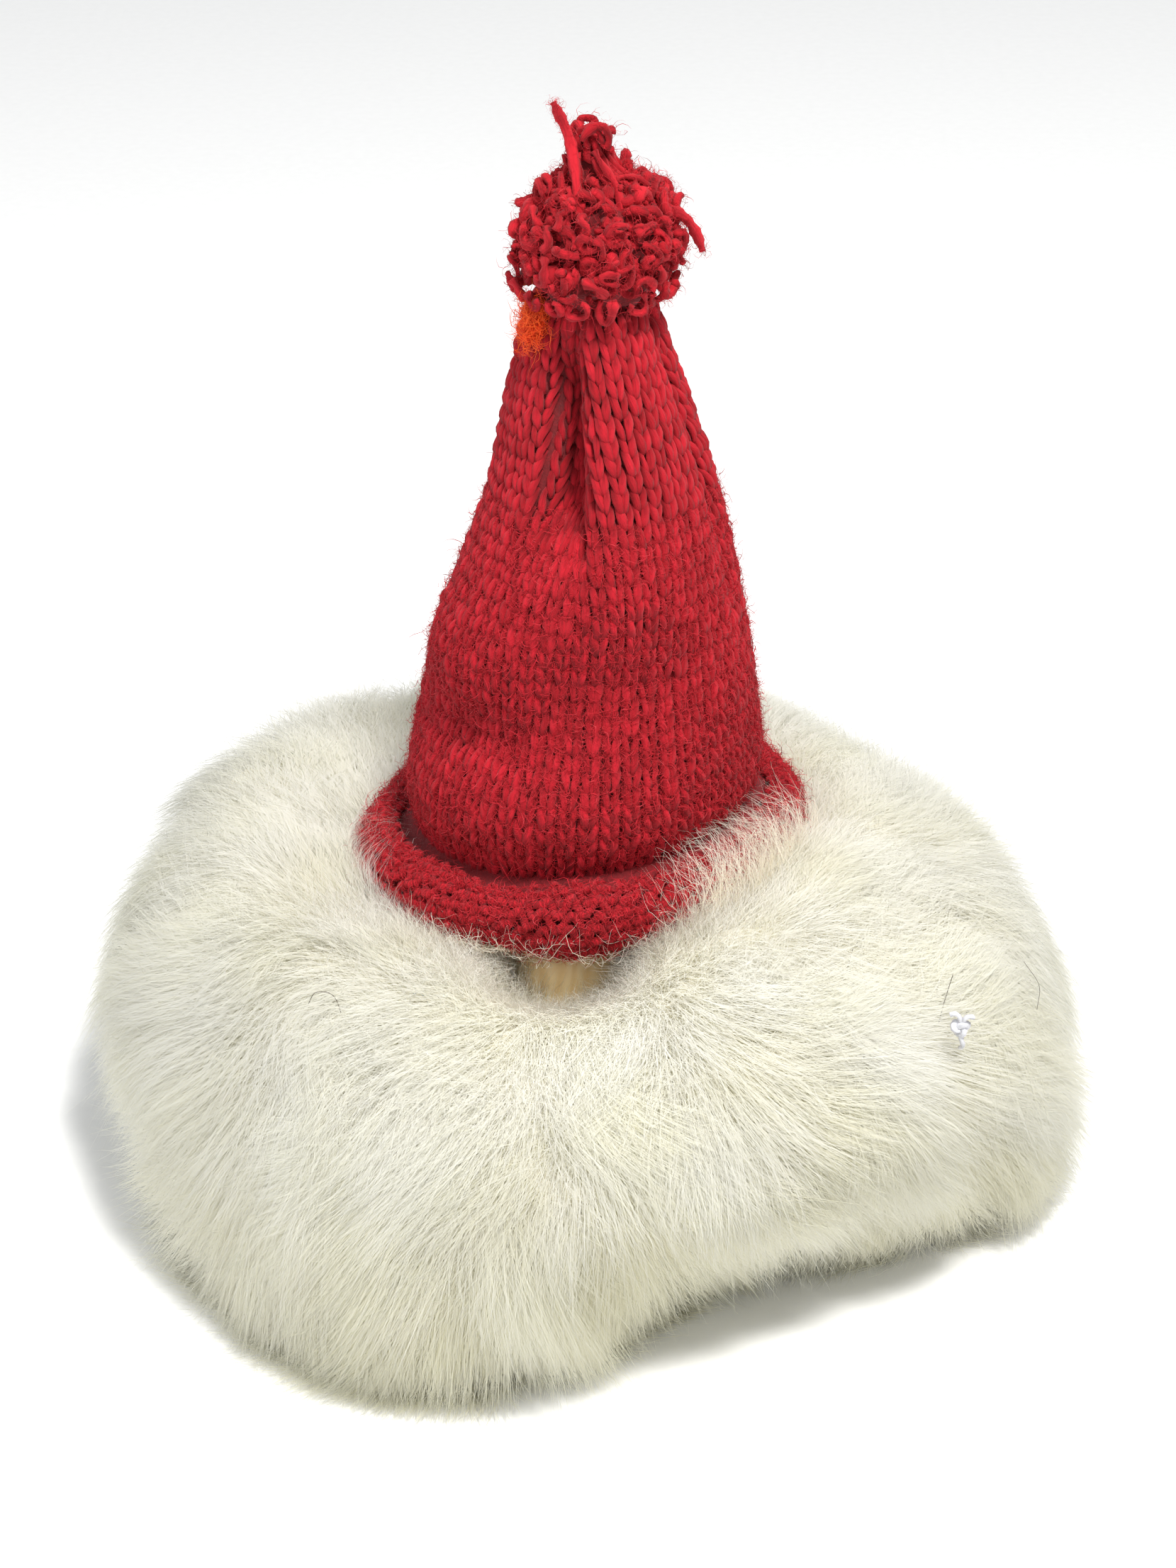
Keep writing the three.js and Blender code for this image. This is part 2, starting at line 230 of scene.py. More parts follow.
def grid_faces(rows, columns, closed_rows=False, closed_columns=False):
    """The quads of a grid of points, numbered row by row, closed round on itself where asked."""
    down = np.arange(rows if closed_rows else rows - 1)
    over = np.arange(columns if closed_columns else columns - 1)
    a = (down[:, None] * columns + over[None, :]).ravel()
    right = (down[:, None] * columns + (over[None, :] + 1) % columns).ravel()
    below = (((down[:, None] + 1) % rows) * columns + over[None, :]).ravel()
    across = (((down[:, None] + 1) % rows) * columns + (over[None, :] + 1) % columns).ravel()
    return np.stack([a, right, across, below], 1)


def tube_faces(rows, columns):
    """The faces of stacked rings, with a flat face at each end."""
    ends = np.stack([np.arange(columns)[::-1], (rows - 1) * columns + np.arange(columns)])
    return [grid_faces(rows, columns, closed_columns=True), ends]


def panel_faces(rows, columns):
    """The faces of a closed section that is carried along columns, with a face at each end."""
    first = np.arange(rows) * columns
    return [grid_faces(rows, columns, closed_rows=True), np.stack([first, first[::-1] + columns - 1])]


def repeat_faces(faces, count, step):
    """The faces of one shape repeated for count shapes whose points follow each other."""
    return (faces[None] + np.arange(count)[:, None, None] * step).reshape(-1, faces.shape[1])


def rod_frames(paths, closed):
    """Two directions across each path at each of its points, with no twist along it."""
    along = np.gradient(paths, axis=1)
    if closed:
        along = np.roll(paths, -1, 1) - np.roll(paths, 1, 1)
    along = unit(along)
    side = np.empty_like(along)
    start = np.where(np.abs(along[:, 0, 2:]) > 0.9, [[1.0, 0.0, 0.0]], UP[None])
    side[:, 0] = unit(np.cross(along[:, 0], start))
    for i in range(1, paths.shape[1]):
        before = side[:, i - 1]
        lean = (before * along[:, i]).sum(-1, keepdims=True)
        side[:, i] = unit(before - lean * along[:, i])
    return side, np.cross(along, side)


TILES = 8  # yarn colours lie in an 8 by 8 chart, one small square to each tone


def rods(paths, radii, sides=8, ply=0.0, twist=0.0, closed=False, seed=0):
    """Round rods along many paths at once, as points, faces and chart places.

    ply is how deep the groove between the two strands of a yarn is, and twist its turns per path.
    """
    rng = np.random.default_rng(seed)
    count, steps = paths.shape[:2]
    side, across = rod_frames(paths, closed)
    angle = np.arange(sides) * TURN / sides
    along = np.arange(steps) / (steps - 1)
    start = rng.uniform(0, TURN, (count, 1, 1))
    groove = 1 + ply * np.cos(2 * (angle - TURN * twist * along[:, None] + start))
    reach = np.broadcast_to(radii, (count, steps))[..., None] * groove
    ring = side[:, :, None] * np.cos(angle)[:, None] + across[:, :, None] * np.sin(angle)[:, None]
    points = paths[:, :, None] + ring * reach[..., None]
    one = grid_faces(steps, sides, closed_rows=closed, closed_columns=True)[:, ::-1]
    faces = [repeat_faces(one, count, steps * sides)]
    if not closed:
        ends = np.stack([np.arange(sides), (steps - 1) * sides + np.arange(sides)[::-1]])
        faces.append(repeat_faces(ends, count, steps * sides))
    tile = rng.integers(0, TILES, (count, 1, 1, 2))
    inside = np.empty((count, steps, sides, 2))
    inside[..., 0] = 1 - np.abs(2 * np.arange(sides) / sides - 1)
    inside[..., 1] = along[None, :, None]
    chart = (tile + 0.04 + 0.92 * inside) / TILES
    return points.reshape(-1, 3), faces, chart.reshape(-1, 2)


def joined(parts):
    """Several (points, faces, chart) sets as one."""
    points, faces, charts, start = [], [], [], 0
    for part_points, part_faces, part_chart in parts:
        points.append(part_points)
        charts.append(part_chart)
        faces += [f + start for f in part_faces]
        start += len(part_points)
    return np.concatenate(points), faces, np.concatenate(charts)


def strands(paths, widths, facing, roll, tone, softness=0.0):
    """Flat tapering fibres along many paths, as points, faces, chart places and normals.

    facing is the direction that their flat side looks in, roll turns it, and softness is how much
    of the fibre's own shading gives way to that of the surface it lies on.
    """
    count, steps = paths.shape[:2]
    along = unit(np.gradient(paths, axis=1))
    across = unit(np.cross(along, facing))
    out = np.cross(across, along)
    angle = roll[:, None, None]
    flat = across * np.cos(angle) + out * np.sin(angle)
    share = np.linspace(0, 1, steps)
    taper = np.clip(1.12 - share**2.2, 0.12, 1) * (0.6 + 0.4 * smoothstep(share, 0, 0.2))
    half = 0.5 * widths[:, None] * taper
    points = np.stack([paths - flat * half[..., None], paths + flat * half[..., None]], 2)
    own = unit(out * np.cos(angle) - across * np.sin(angle))
    own *= np.sign((own * facing).sum(-1, keepdims=True)) + 1e-6
    normal = unit(own * (1 - softness) + facing * softness)
    normals = np.repeat(normal[:, :, None], 2, 2)
    chart = np.empty((count, steps, 2, 2))
    chart[..., 0] = tone[:, None, None] * 0.98 + np.array([0.0, 0.012])
    chart[..., 1] = 0.01 + 0.98 * share[None, :, None]
    faces = [repeat_faces(grid_faces(steps, 2), count, steps * 2)]
    return points.reshape(-1, 3), faces, chart.reshape(-1, 2), normals.reshape(-1, 3)


# ---- materials ----


def add_node(tree, kind, settings=None, **inputs):
    """A shader node with its settings and unlinked inputs set."""
    node = tree.nodes.new(kind)
    for name, value in (settings or {}).items():
        setattr(node, name, value)
    for name, value in inputs.items():
        node.inputs[name.replace("_", " ")].default_value = value
    return node


def new_material(name, **sockets):
    """A material with its Principled shader's constants set."""
    material = bpy.data.materials.new(name)
    material.use_nodes = True
    shader = material.node_tree.nodes["Principled BSDF"]
    for socket, value in sockets.items():
        shader.inputs[socket.replace("_", " ")].default_value = value
    return material, material.node_tree, shader


def calc(tree, operation, first, second=0.0, third=0.0):
    """The output of a Math node; each input is a number or another node's output."""
    node = add_node(tree, "ShaderNodeMath", {"operation": operation})
    for place, value in enumerate((first, second, third)):
        if isinstance(value, (int, float)):
            node.inputs[place].default_value = value
        else:
            tree.links.new(value, node.inputs[place])
    return node.outputs[0]


def ramp(tree, factor, stops):
    """The colour of a ramp of (place, colour) stops at a factor."""
    node = add_node(tree, "ShaderNodeValToRGB")
    while len(node.color_ramp.elements) < len(stops):
        node.color_ramp.elements.new(0.5)
    for element, (place, colour) in zip(node.color_ramp.elements, stops):
        element.position = place
        element.color = (*colour, 1)
    tree.links.new(factor, node.inputs[0])
    return node.outputs[0]


def blend_colours(tree, factor, first, second, how="MIX"):
    """Two colours mixed by a factor; each is a colour or another node's output."""
    node = add_node(tree, "ShaderNodeMix", {"data_type": "RGBA", "blend_type": how})
    for place, value in ((0, factor), (6, first), (7, second)):
        if isinstance(value, bpy.types.NodeSocket):
            tree.links.new(value, node.inputs[place])
        else:
            node.inputs[place].default_value = value if place == 0 else (*value, 1)
    return node.outputs[2]


def noise(tree, scale, detail=3.0, rough=0.5, where=None):
    """A noise value, on the object's own coordinates unless told where."""
    node = add_node(tree, "ShaderNodeTexNoise", Scale=scale, Detail=detail, Roughness=rough)
    if where is None:
        where = add_node(tree, "ShaderNodeTexCoord").outputs["Object"]
    tree.links.new(where, node.inputs["Vector"])
    return node.outputs[0]


def add_bump(tree, shader, height, distance):
    """Raise the shader's surface by a height from 0 to 1, distance metres at most."""
    node = add_node(tree, "ShaderNodeBump", Strength=1.0, Distance=distance)
    tree.links.new(height, node.inputs["Height"])
    tree.links.new(node.outputs[0], shader.inputs["Normal"])


def chart_axes(tree):
    """Both coordinates of a piece's chart."""
    chart = add_node(tree, "ShaderNodeUVMap", {"uv_map": "OFBake"})
    split = add_node(tree, "ShaderNodeSeparateXYZ")
    tree.links.new(chart.outputs[0], split.inputs[0])
    return split.outputs[0], split.outputs[1]


def strand_material(name, cool, warm, root, glow=0.3, gloss=0.42):
    """Fine fibre: tone goes across the chart, length from root to tip up it; roots get painted shade."""
    material, tree, shader = new_material(name, Specular_IOR_Level=0.35)
    tone, along = chart_axes(tree)
    body = ramp(tree, tone, [(0.0, cool), (0.6, warm), (1.0, root)])
    # Painted shade: each fibre darkens towards its root, to the root colour, as if deep among the others.
    root_shade = ramp(tree, along, [(0.0, root), (0.35, (0.97, 0.96, 0.92)), (1.0, (1.0, 1.0, 1.0))])
    colour = blend_colours(tree, 0.9, body, root_shade, "MULTIPLY")
    tree.links.new(colour, shader.inputs["Base Color"])
    tree.links.new(calc(tree, "MULTIPLY_ADD", tone, 0.2, gloss), shader.inputs["Roughness"])
    through = add_node(tree, "ShaderNodeBsdfTranslucent")
    mix = add_node(tree, "ShaderNodeMixShader", Fac=glow)
    tree.links.new(colour, through.inputs["Color"])
    tree.links.new(shader.outputs[0], mix.inputs[1])
    tree.links.new(through.outputs[0], mix.inputs[2])
    tree.links.new(mix.outputs[0], tree.nodes["Material Output"].inputs[0])
    return material


def yarn_material(name, dark, light, groove=0.5):
    """Two-ply wool yarn: tone by chart square, twist and fibres in each square, and painted groove shade.
    """
    material, tree, shader = new_material(
        name,
        Roughness=0.9,
        Specular_IOR_Level=0.25,
        Sheen_Weight=0.12,
        Sheen_Roughness=0.5,
        Sheen_Tint=(1, 0.5, 0.5, 1),
    )
    around, along = chart_axes(tree)
    wide, tall = calc(tree, "MULTIPLY", around, TILES), calc(tree, "MULTIPLY", along, TILES)
    tile = add_node(tree, "ShaderNodeCombineXYZ")
    tree.links.new(calc(tree, "FLOOR", wide), tile.inputs[0])
    tree.links.new(calc(tree, "FLOOR", tall), tile.inputs[1])
    random = add_node(tree, "ShaderNodeTexWhiteNoise")
    tree.links.new(tile.outputs[0], random.inputs["Vector"])
    place = add_node(tree, "ShaderNodeCombineXYZ")
    tree.links.new(calc(tree, "MULTIPLY", wide, 3.0), place.inputs[0])
    tree.links.new(tall, place.inputs[1])
    fibres = noise(tree, 4.0, 4.0, 0.65, place.outputs[0])
    spiral = calc(tree, "SINE", calc(tree, "MULTIPLY", calc(tree, "ADD", wide, tall), TURN))
    height = calc(tree, "ADD", calc(tree, "MULTIPLY", spiral, 0.2), fibres)
    colour = ramp(tree, random.outputs[0], [(0.0, dark), (1.0, light)])
    # Painted shade: the colour drops to groove in the hollows between the plies and fibres.
    shade = ramp(tree, height, [(0.15, (groove,) * 3), (0.75, (1.0, 1.0, 1.0))])
    colour = blend_colours(tree, 1.0, colour, shade, "MULTIPLY")
    tree.links.new(colour, shader.inputs["Base Color"])
    add_bump(tree, shader, height, 0.0002)
    return material


def cloth_material(name, dark, light, grain, depth, roughness=0.9):
    """Felted or woven cloth: mottled colour with a fine raised grain."""
    material, tree, shader = new_material(name, Roughness=roughness, Sheen_Weight=0.15)
    mottle = noise(tree, grain * 0.12, 4.0)
    fine = noise(tree, grain, 5.0, 0.7)
    tone = calc(tree, "MULTIPLY", calc(tree, "ADD", mottle, fine), 0.5)
    colour = ramp(tree, tone, [(0.3, dark), (0.7, light)])
    tree.links.new(colour, shader.inputs["Base Color"])
    add_bump(tree, shader, fine, depth)
    return material


def wood_material():
    """Pale lacquered wood with fine turned grain."""
    material, tree, shader = new_material("nose_wood", Coat_Weight=0.15, Coat_Roughness=0.35)
    where = add_node(tree, "ShaderNodeTexCoord").outputs["Object"]
    stretch = add_node(tree, "ShaderNodeMapping", Scale=(1.0, 1.0, 0.1))
    tree.links.new(where, stretch.inputs["Vector"])
    rings = add_node(
        tree, "ShaderNodeTexWave", {"bands_direction": "X"}, Scale=90.0, Distortion=14.0, Detail=4.0
    )
    tree.links.new(stretch.outputs[0], rings.inputs["Vector"])
    pores = noise(tree, 900.0, 4.0, 0.6, stretch.outputs[0])
    coarse = calc(tree, "MULTIPLY", rings.outputs[1], 0.65)
    grain = calc(tree, "ADD", coarse, calc(tree, "MULTIPLY", pores, 0.35))
    tones = [(0.1, (0.72, 0.51, 0.24)), (0.5, (0.78, 0.58, 0.3)), (0.9, (0.83, 0.65, 0.37))]
    colour = ramp(tree, grain, tones)
    tree.links.new(colour, shader.inputs["Base Color"])
    tree.links.new(calc(tree, "MULTIPLY_ADD", pores, 0.25, 0.38), shader.inputs["Roughness"])
    add_bump(tree, shader, grain, 0.00004)
    return material


# The last number of each yarn is how dark its painted shade in the grooves is.
RED_YARN = yarn_material("red_yarn", (0.36, 0.005, 0.012), (0.58, 0.012, 0.026), 0.36)
BRIM_YARN = yarn_material("brim_yarn", (0.42, 0.006, 0.014), (0.66, 0.016, 0.03), 0.38)
# The third colour of each strand material is the painted shade at its roots.
RED_FUZZ = strand_material(
    "red_fuzz", (0.66, 0.024, 0.042), (0.54, 0.014, 0.026), (0.42, 0.008, 0.016), 0.3, 0.5
)
# Painted shade: the red yarn as dark as it looks in the shadow between stitch legs and crown loops.
UNDER_KNIT_SHADE = cloth_material("under_knit_shade", (0.1, 0.001, 0.003), (0.26, 0.003, 0.008), 900.0, 0.0004)
ORANGE_FUZZ = strand_material(
    "orange_fuzz", (0.95, 0.16, 0.02), (0.88, 0.1, 0.015), (0.8, 0.06, 0.01), 0.3, 0.5
)
FUR_HAIR = strand_material(
    "fur_hair", (0.97, 0.965, 0.93), (0.95, 0.935, 0.8), (0.9, 0.87, 0.66), 0.42, 0.45
)
# The tan end of the wisp colours is painted shade, used under the nose.
FUR_WISP = strand_material(
    "fur_wisp", (0.95, 0.92, 0.84), (0.88, 0.82, 0.66), (0.74, 0.64, 0.44), 0.4
)
UNDER_WOOL = cloth_material("under_wool", (0.62, 0.57, 0.42), (0.84, 0.8, 0.66), 420.0, 0.0012)


# ---- knitted cap: where its surface lies ----

CAP_ROWS = smooth_rows(CAP_SHAPE, 240)


def cap_radius(height):
    """Outer radius of the cap before its folds."""
    return np.interp(height, CAP_ROWS[:, 0], CAP_ROWS[:, 1])


def fold_push(turn, height):
    """How far the folds push the cap's side outwards."""
    push = 0.0
    for middle, level, before, after, tall, depth, steep in CAP_FOLDS:
        off = turned(turn, middle)
        reach = np.where(off < 0, before, after)
        push = push + depth * np.exp(-((off / reach) ** steep) - ((height - level) / tall) ** steep)
    return push


# Pleats, where columns of the knit end as the cap narrows: azimuth and depth near the crown.
PLEATS = [(FRONT - 1.75, 2.6), (FRONT - 0.16, 1.0), (FRONT + 1.25, 2.4), (FRONT + 2.7, 2.8)]
PLEAT_REACH = 2.2  # half-width of a pleat's groove


def pleat_groove(turn, height, radius):
    """How deep the cap's side is drawn in at the pleats."""
    depth = 0.0
    for middle, most in PLEATS:
        off = turned(turn, middle) * radius / PLEAT_REACH
        depth = depth + most * smoothstep(height, 34, 74) * np.exp(-(off**2))
    return depth


CREASE = 2.2  # how far the side of the cap is drawn in behind the roll


def cap_point(turn, height, out=0.0):
    """A place on the cap's side, out millimetres proud of it."""
    turn, height = np.broadcast_arrays(turn, height)
    flat = cap_radius(height)
    tuck = CREASE * (1 - smoothstep(height, 4, 14))
    radius = flat + fold_push(turn, height) - pleat_groove(turn, height, flat) - tuck + out
    lean = np.interp(height, CAP_ROWS[:, 0], CAP_ROWS[:, 2])
    across = flat * np.cos(turn)
    tilted = 1 - smoothstep(height, 6, 34)
    return np.stack(
        [
            radius * np.cos(turn) + lean,
            radius * np.sin(turn) * CAP_OVAL,
            BRIM_HEIGHT + height + BRIM_TILT * across * tilted,
        ],
        -1,
    )


def cap_normal(turn, height):
    """The direction straight out of the cap's side."""
    small = 0.01
    around = cap_point(turn + small, height) - cap_point(turn - small, height)
    upwards = cap_point(turn, height + 0.3) - cap_point(turn, height - 0.3)
    return unit(np.cross(around, upwards))


def roll_point(turn, roll_turn, out=0.0):
    """A place on the rolled brim: azimuth, turn round the roll from outwards to up, and height."""
    turn, roll_turn = np.broadcast_arrays(turn, roll_turn)
    circle = np.stack([np.cos(turn), np.sin(turn)], -1) * BRIM_RADIUS
    thick = BRIM_ROLL + 0.45 * ripple(circle, 26, 4) + out
    radius = BRIM_RADIUS + 0.4 * ripple(circle, 30, 5) + thick * np.cos(roll_turn)
    height = thick * np.sin(roll_turn) + 0.5 * ripple(circle, 34, 6)
    x = radius * np.cos(turn)
    z = BRIM_HEIGHT + height + BRIM_TILT * x
    return np.stack([x + 0.05 * height, radius * np.sin(turn) * CAP_OVAL, z], -1)


# ---- knitted cap: stitches ----

WALES = 55  # columns of stitches round the cap
COURSE = 3.0  # height of a row of stitches
NARROWEST = 0.76  # a column never gets narrower than this share of its width at the brim
FIRST_ROW = 5.2
STITCH_STEPS = 8


def wale_columns():
    """Each column's pleat-to-pleat sector: its middle, half-width, and the column's offset."""
    rows = []
    edges = [middle for middle, _ in PLEATS] + [PLEATS[0][0] + TURN]
    for low, high in zip(edges[:-1], edges[1:]):
        count = round(WALES * (high - low) / TURN)
        half = (high - low) / 2
        for place in range(count):
            rows.append(((low + high) / 2, half, (place + 0.5) / count * 2 * half - half, 2 * half / count))
    return np.array(rows)


def knit_place(middle, offset, height):
    """The azimuth of a column at a height: columns stay nearly as wide as at the brim."""
    spread = np.maximum(1.0, NARROWEST * cap_radius(0.0) / cap_radius(height))
    return middle + offset * spread


def stitch_paths():
    """The two legs of every stitch, as paths and radii along them."""
    rng = np.random.default_rng(21)
    columns = wale_columns()
    levels = np.arange(FIRST_ROW, CROWN_HEIGHT + 1.0, COURSE)
    column, level = np.meshgrid(np.arange(len(columns)), levels, indexing="ij")
    middle, half, offset, pitch = columns[column.ravel()].T
    level = level.ravel()
    at = knit_place(middle, offset, level + COURSE / 2)
    seen = np.abs(at - middle) < half + 0.35 * pitch
    middle, offset, pitch, level = middle[seen], offset[seen], pitch[seen], level[seen]
    share = np.linspace(0, 1, STITCH_STEPS)
    legs = []
    for hand in (-1, 1):
        count = len(level)
        spread = 0.13 + 0.2 * smoothstep(share, 0.1, 0.95) + gaussian(rng, (count, 1), 0.03)
        sideways = hand * spread * pitch[:, None]
        height = level[:, None] + (-0.35 + 1.6 * share) * COURSE + gaussian(rng, (count, 1), 0.2)
        turn = knit_place(middle[:, None], offset[:, None] + sideways, height)
        out = -1.9 + 0.95 * np.sin(math.pi * share) ** 0.8 - 0.45 * share + gaussian(rng, (count, 1), 0.12)
        legs.append(cap_point(turn, height, out))
    paths = np.concatenate(legs)
    thick = 0.5 + 0.5 * np.sin(math.pi * (0.06 + 0.88 * share)) ** 0.8
    uneven = 1 + gaussian(rng, (len(paths), 1), 0.09) + 0.1 * ripple(paths, 3.0, 25)
    radii = 0.72 * thick * uneven
    return paths, radii


def add_stitches():
    """The V-shaped legs of the stocking stitch, a piece to each quarter of the cap."""
    paths, radii = stitch_paths()
    turn = np.arctan2(paths[:, 0, 1], paths[:, 0, 0])
    quarter = np.minimum((turn % TURN) / TURN * 4, 3).astype(int)
    pieces = []
    for number in range(4):
        chosen = quarter == number
        made = rods(paths[chosen], radii[chosen], 8, ply=0.12, twist=0.7, seed=3)
        piece = make_mesh(f"cap_stitches_{number + 1}", *made)
        pieces.append(dress(piece, RED_YARN, "cap"))
    return pieces


BRIM_ROWS = 11
ROW_TURN = 0.4  # turn round the roll from one row of the brim to the next
TOP_ROW = 0.57 * math.pi
BRIM_PATCHES = 997.0  # how often the yarn's colour changes along a row


def brim_rows():
    """The purl side of the knit shows on the roll: rows of yarn that wave up and down."""
    steps = WALES * 14
    turn = np.arange(steps) * TURN / steps
    wave = turn * WALES
    paths = []
    for row in range(BRIM_ROWS):
        sway = 0.4 * ripple(np.stack([np.cos(turn), np.sin(turn)], -1) * 30, 14, 50 + row)
        phase = wave + row * 0.25 + sway
        across = TOP_ROW - ROW_TURN * (row + 0.5) + 0.6 * ROW_TURN * np.cos(phase) + 0.12 * sway
        out = -1.25 + 0.34 * np.cos(2 * phase) + 0.25 * sway
        paths.append(roll_point(turn, across, out))
    return np.array(paths)


def add_brim():
    """The rolled edge of the cap."""
    points, faces, chart = rods(brim_rows(), 0.8, 8, ply=0.16, twist=150.0, closed=True, seed=8)
    chart[:, 1] = (chart[:, 1] * BRIM_PATCHES) % 1.0
    return dress(make_mesh("cap_brim", points, faces, chart), BRIM_YARN, "cap")


def cap_section():
    """Closed section of the cloth under the stitches, as places round it: kind, value, inset."""
    curl = TOP_ROW - 0.25 * np.arange(18)
    places = [("roll", float(a), -2.4) for a in curl]
    places += [("roll", float(a), -3.6) for a in curl[:0:-1]]
    places += [("side", float(h), -3.4) for h in np.linspace(3, CROWN_HEIGHT, 36)]
    places += [("side", float(h), -2.2) for h in np.linspace(CROWN_HEIGHT, 6.5, 40)]
    return places


def add_cap_cloth():
    """The continuous cloth that the stitches form, coloured dark as painted shade between their legs."""
    columns = 168
    turn = np.arange(columns) * TURN / columns
    rings = []
    for kind, value, inset in cap_section():
        place = roll_point if kind == "roll" else cap_point
        rings.append(place(turn, np.full(columns, value), inset))
    points = np.concatenate(rings)
    faces = [grid_faces(len(rings), columns, closed_rows=True, closed_columns=True)]
    piece = make_mesh("cap_cloth", points, faces)
    return dress(piece, UNDER_KNIT_SHADE, "cap")


def fuzz_paths(rng, roots, out, length, curl, lift):
    """Short curly fibres that leave roots and bend over the surface beneath them."""
    steps = 6
    count = len(roots)
    way = unit(gaussian(rng, (count, 3), 1.0))
    way = unit(way - (way * out).sum(-1, keepdims=True) * out * 0.8 + out * lift)
    share = np.linspace(0, 1, steps)
    sides = unit(np.cross(way, out + 0.01))
    start = rng.uniform(0, TURN, (count, 1))
    turns = rng.uniform(0.5, 1.4, (count, 1)) * TURN
    wave = np.sin(turns * share + start) - np.sin(start)
    other = np.cos(turns * share + start) - np.cos(start)
    path = roots[:, None] + way[:, None] * (length[:, None] * share)[..., None]
    path += sides[:, None] * (curl[:, None] * wave)[..., None]
    path += out[:, None] * (0.5 * curl[:, None] * other)[..., None]
    bend = (lift * 0.55 * length)[:, None] * share**2
    return path - out[:, None] * bend[..., None]


def fibres(rng, paths, outs, width, softness):
    """Fine fibres along paths, each with its own width, roll and tone."""
    facing = np.repeat(outs[:, None], paths.shape[1], 1)
    widths = rng.uniform(*width, len(paths))
    roll = gaussian(rng, len(paths), 0.5)
    return strands(paths, widths, facing, roll, rng.uniform(0, 1, len(paths)), softness)


FUZZ_PARTS = 3


def add_cap_fuzz():
    """Loose fibres that stand out from the yarn all over the cap."""
    rng = np.random.default_rng(31)
    side, roll = 44000, 14000
    turn = rng.uniform(0, TURN, side)
    height = CROWN_HEIGHT * (1 - np.sqrt(1 - 0.86 * rng.uniform(0, 1, side))) + 7
    roots = [cap_point(turn, height, -1.0)]
    outs = [cap_normal(turn, height)]
    turn = rng.uniform(0, TURN, roll)
    roll_turn = rng.uniform(-1.6, 1.7, roll)
    roots.append(roll_point(turn, roll_turn, -0.5))
    outs.append(unit(roll_point(turn, roll_turn, 1.0) - roll_point(turn, roll_turn, 0.0)))
    roots, outs = np.concatenate(roots), np.concatenate(outs)
    count = len(roots)
    length = 1.2 + 2.6 * rng.uniform(0, 1, count) ** 2
    length += 3.0 * (rng.uniform(0, 1, count) > 0.98)
    paths = fuzz_paths(rng, roots, outs, length, length * 0.2, lift=0.35)
    facing = np.repeat(outs[:, None], paths.shape[1], 1)
    width = rng.uniform(0.07, 0.13, count)
    roll_over = gaussian(rng, count, 0.5)
    tone = rng.uniform(0, 1, count)
    pieces = []
    for part in range(FUZZ_PARTS):
        some = slice(part, None, FUZZ_PARTS)
        made = strands(paths[some], width[some], facing[some], roll_over[some], tone[some], 0.3)
        pieces.append(dress(make_mesh(f"cap_fuzz_{part + 1}", *made), RED_FUZZ, "cap"))
    return pieces


# ---- crown ----


# Crown: height above the brim's centre, radius, and how far its middle leans towards +X.
CROWN_SHAPE = [
    (99, 11.6, 1.8),
    (105, 12.4, 2.2),
    (112, 12.8, 3.0),
    (117, 11.2, 3.4),
    (121, 7.6, 3.4),
    (124, 4.8, 2.0),
    (127, 3.8, 1.2),
    (131, 2.4, 1.0),
]
CROWN_ROWS = smooth_rows(CROWN_SHAPE, 120)


def crown_axes(turn, height):
    """The crown's middle at a height, and the directions round it and out of it."""
    lean = np.interp(height, CROWN_ROWS[:, 0], CROWN_ROWS[:, 2])
    around = np.stack([-np.sin(turn), np.cos(turn), 0 * turn], -1)
    out = np.stack([np.cos(turn), np.sin(turn), 0 * turn], -1)
    middle = np.stack([lean, 0 * lean, BRIM_HEIGHT + height], -1)
    return middle, around, out


def crown_radius(height):
    """Outer radius of the mass of loops."""
    return np.interp(height, CROWN_ROWS[:, 0], CROWN_ROWS[:, 1])


CROWN_STEPS = 13  # points along each loop or strand of the crown
GOLDEN_TURN = 2.39996  # spreads loops evenly round the crown


def ring_paths(centres, around, up, ring, start, end, lift):
    """Parts of small rings in the planes of two directions, rising by lift along them."""
    share = np.linspace(0, 1, CROWN_STEPS)
    angle = start[:, None] + (end - start)[:, None] * share
    path = centres[:, None] + around[:, None] * (ring[:, None] * np.cos(angle))[..., None]
    path += up[:, None] * (ring[:, None] * np.sin(angle))[..., None]
    side = unit(np.cross(around, up))
    return path + side[:, None] * (lift[:, None] * share)[..., None]


def hanging_loops(rng):
    """The first row: small loops that hang over the gathered knit."""
    count = 18
    turn = (np.arange(count) + gaussian(rng, count, 0.12)) * TURN / count
    height = 104.2 + gaussian(rng, count, 0.4)
    middle, around, out = crown_axes(turn, height)
    centres = middle + out * (12.8 + gaussian(rng, count, 0.35))[:, None]
    lean = unit(UP + out * 0.25)
    ring = rng.uniform(1.3, 1.65, count)
    start = rng.uniform(2.3, 2.9, count)
    end = start + rng.uniform(4.4, 5.1, count)
    return ring_paths(centres, around, lean, ring, start, end, ring * 0.7)


def mass_loops(rng):
    """Tangled loops over the body of the crown."""
    count = 340
    order = np.arange(count)
    turn = order * GOLDEN_TURN + gaussian(rng, count, 0.2)
    height = 107 + 15 * (order / count) ** 1.2 + gaussian(rng, count, 0.7)
    middle, around, out = crown_axes(turn, height)
    radius = crown_radius(height) - 0.8 + gaussian(rng, count, 0.9)
    centres = middle + out * radius[:, None]
    tip = unit(gaussian(rng, (count, 3), 1.0))
    first = unit(around + tip * 0.9)
    second = unit(np.cross(first, out + tip * 0.6))
    ring = rng.uniform(0.8, 1.9, count)
    start = rng.uniform(0, TURN, count)
    end = start + rng.uniform(2.6, 5.8, count)
    return ring_paths(centres, first, second, ring, start, end, ring * gaussian(rng, count, 0.9))


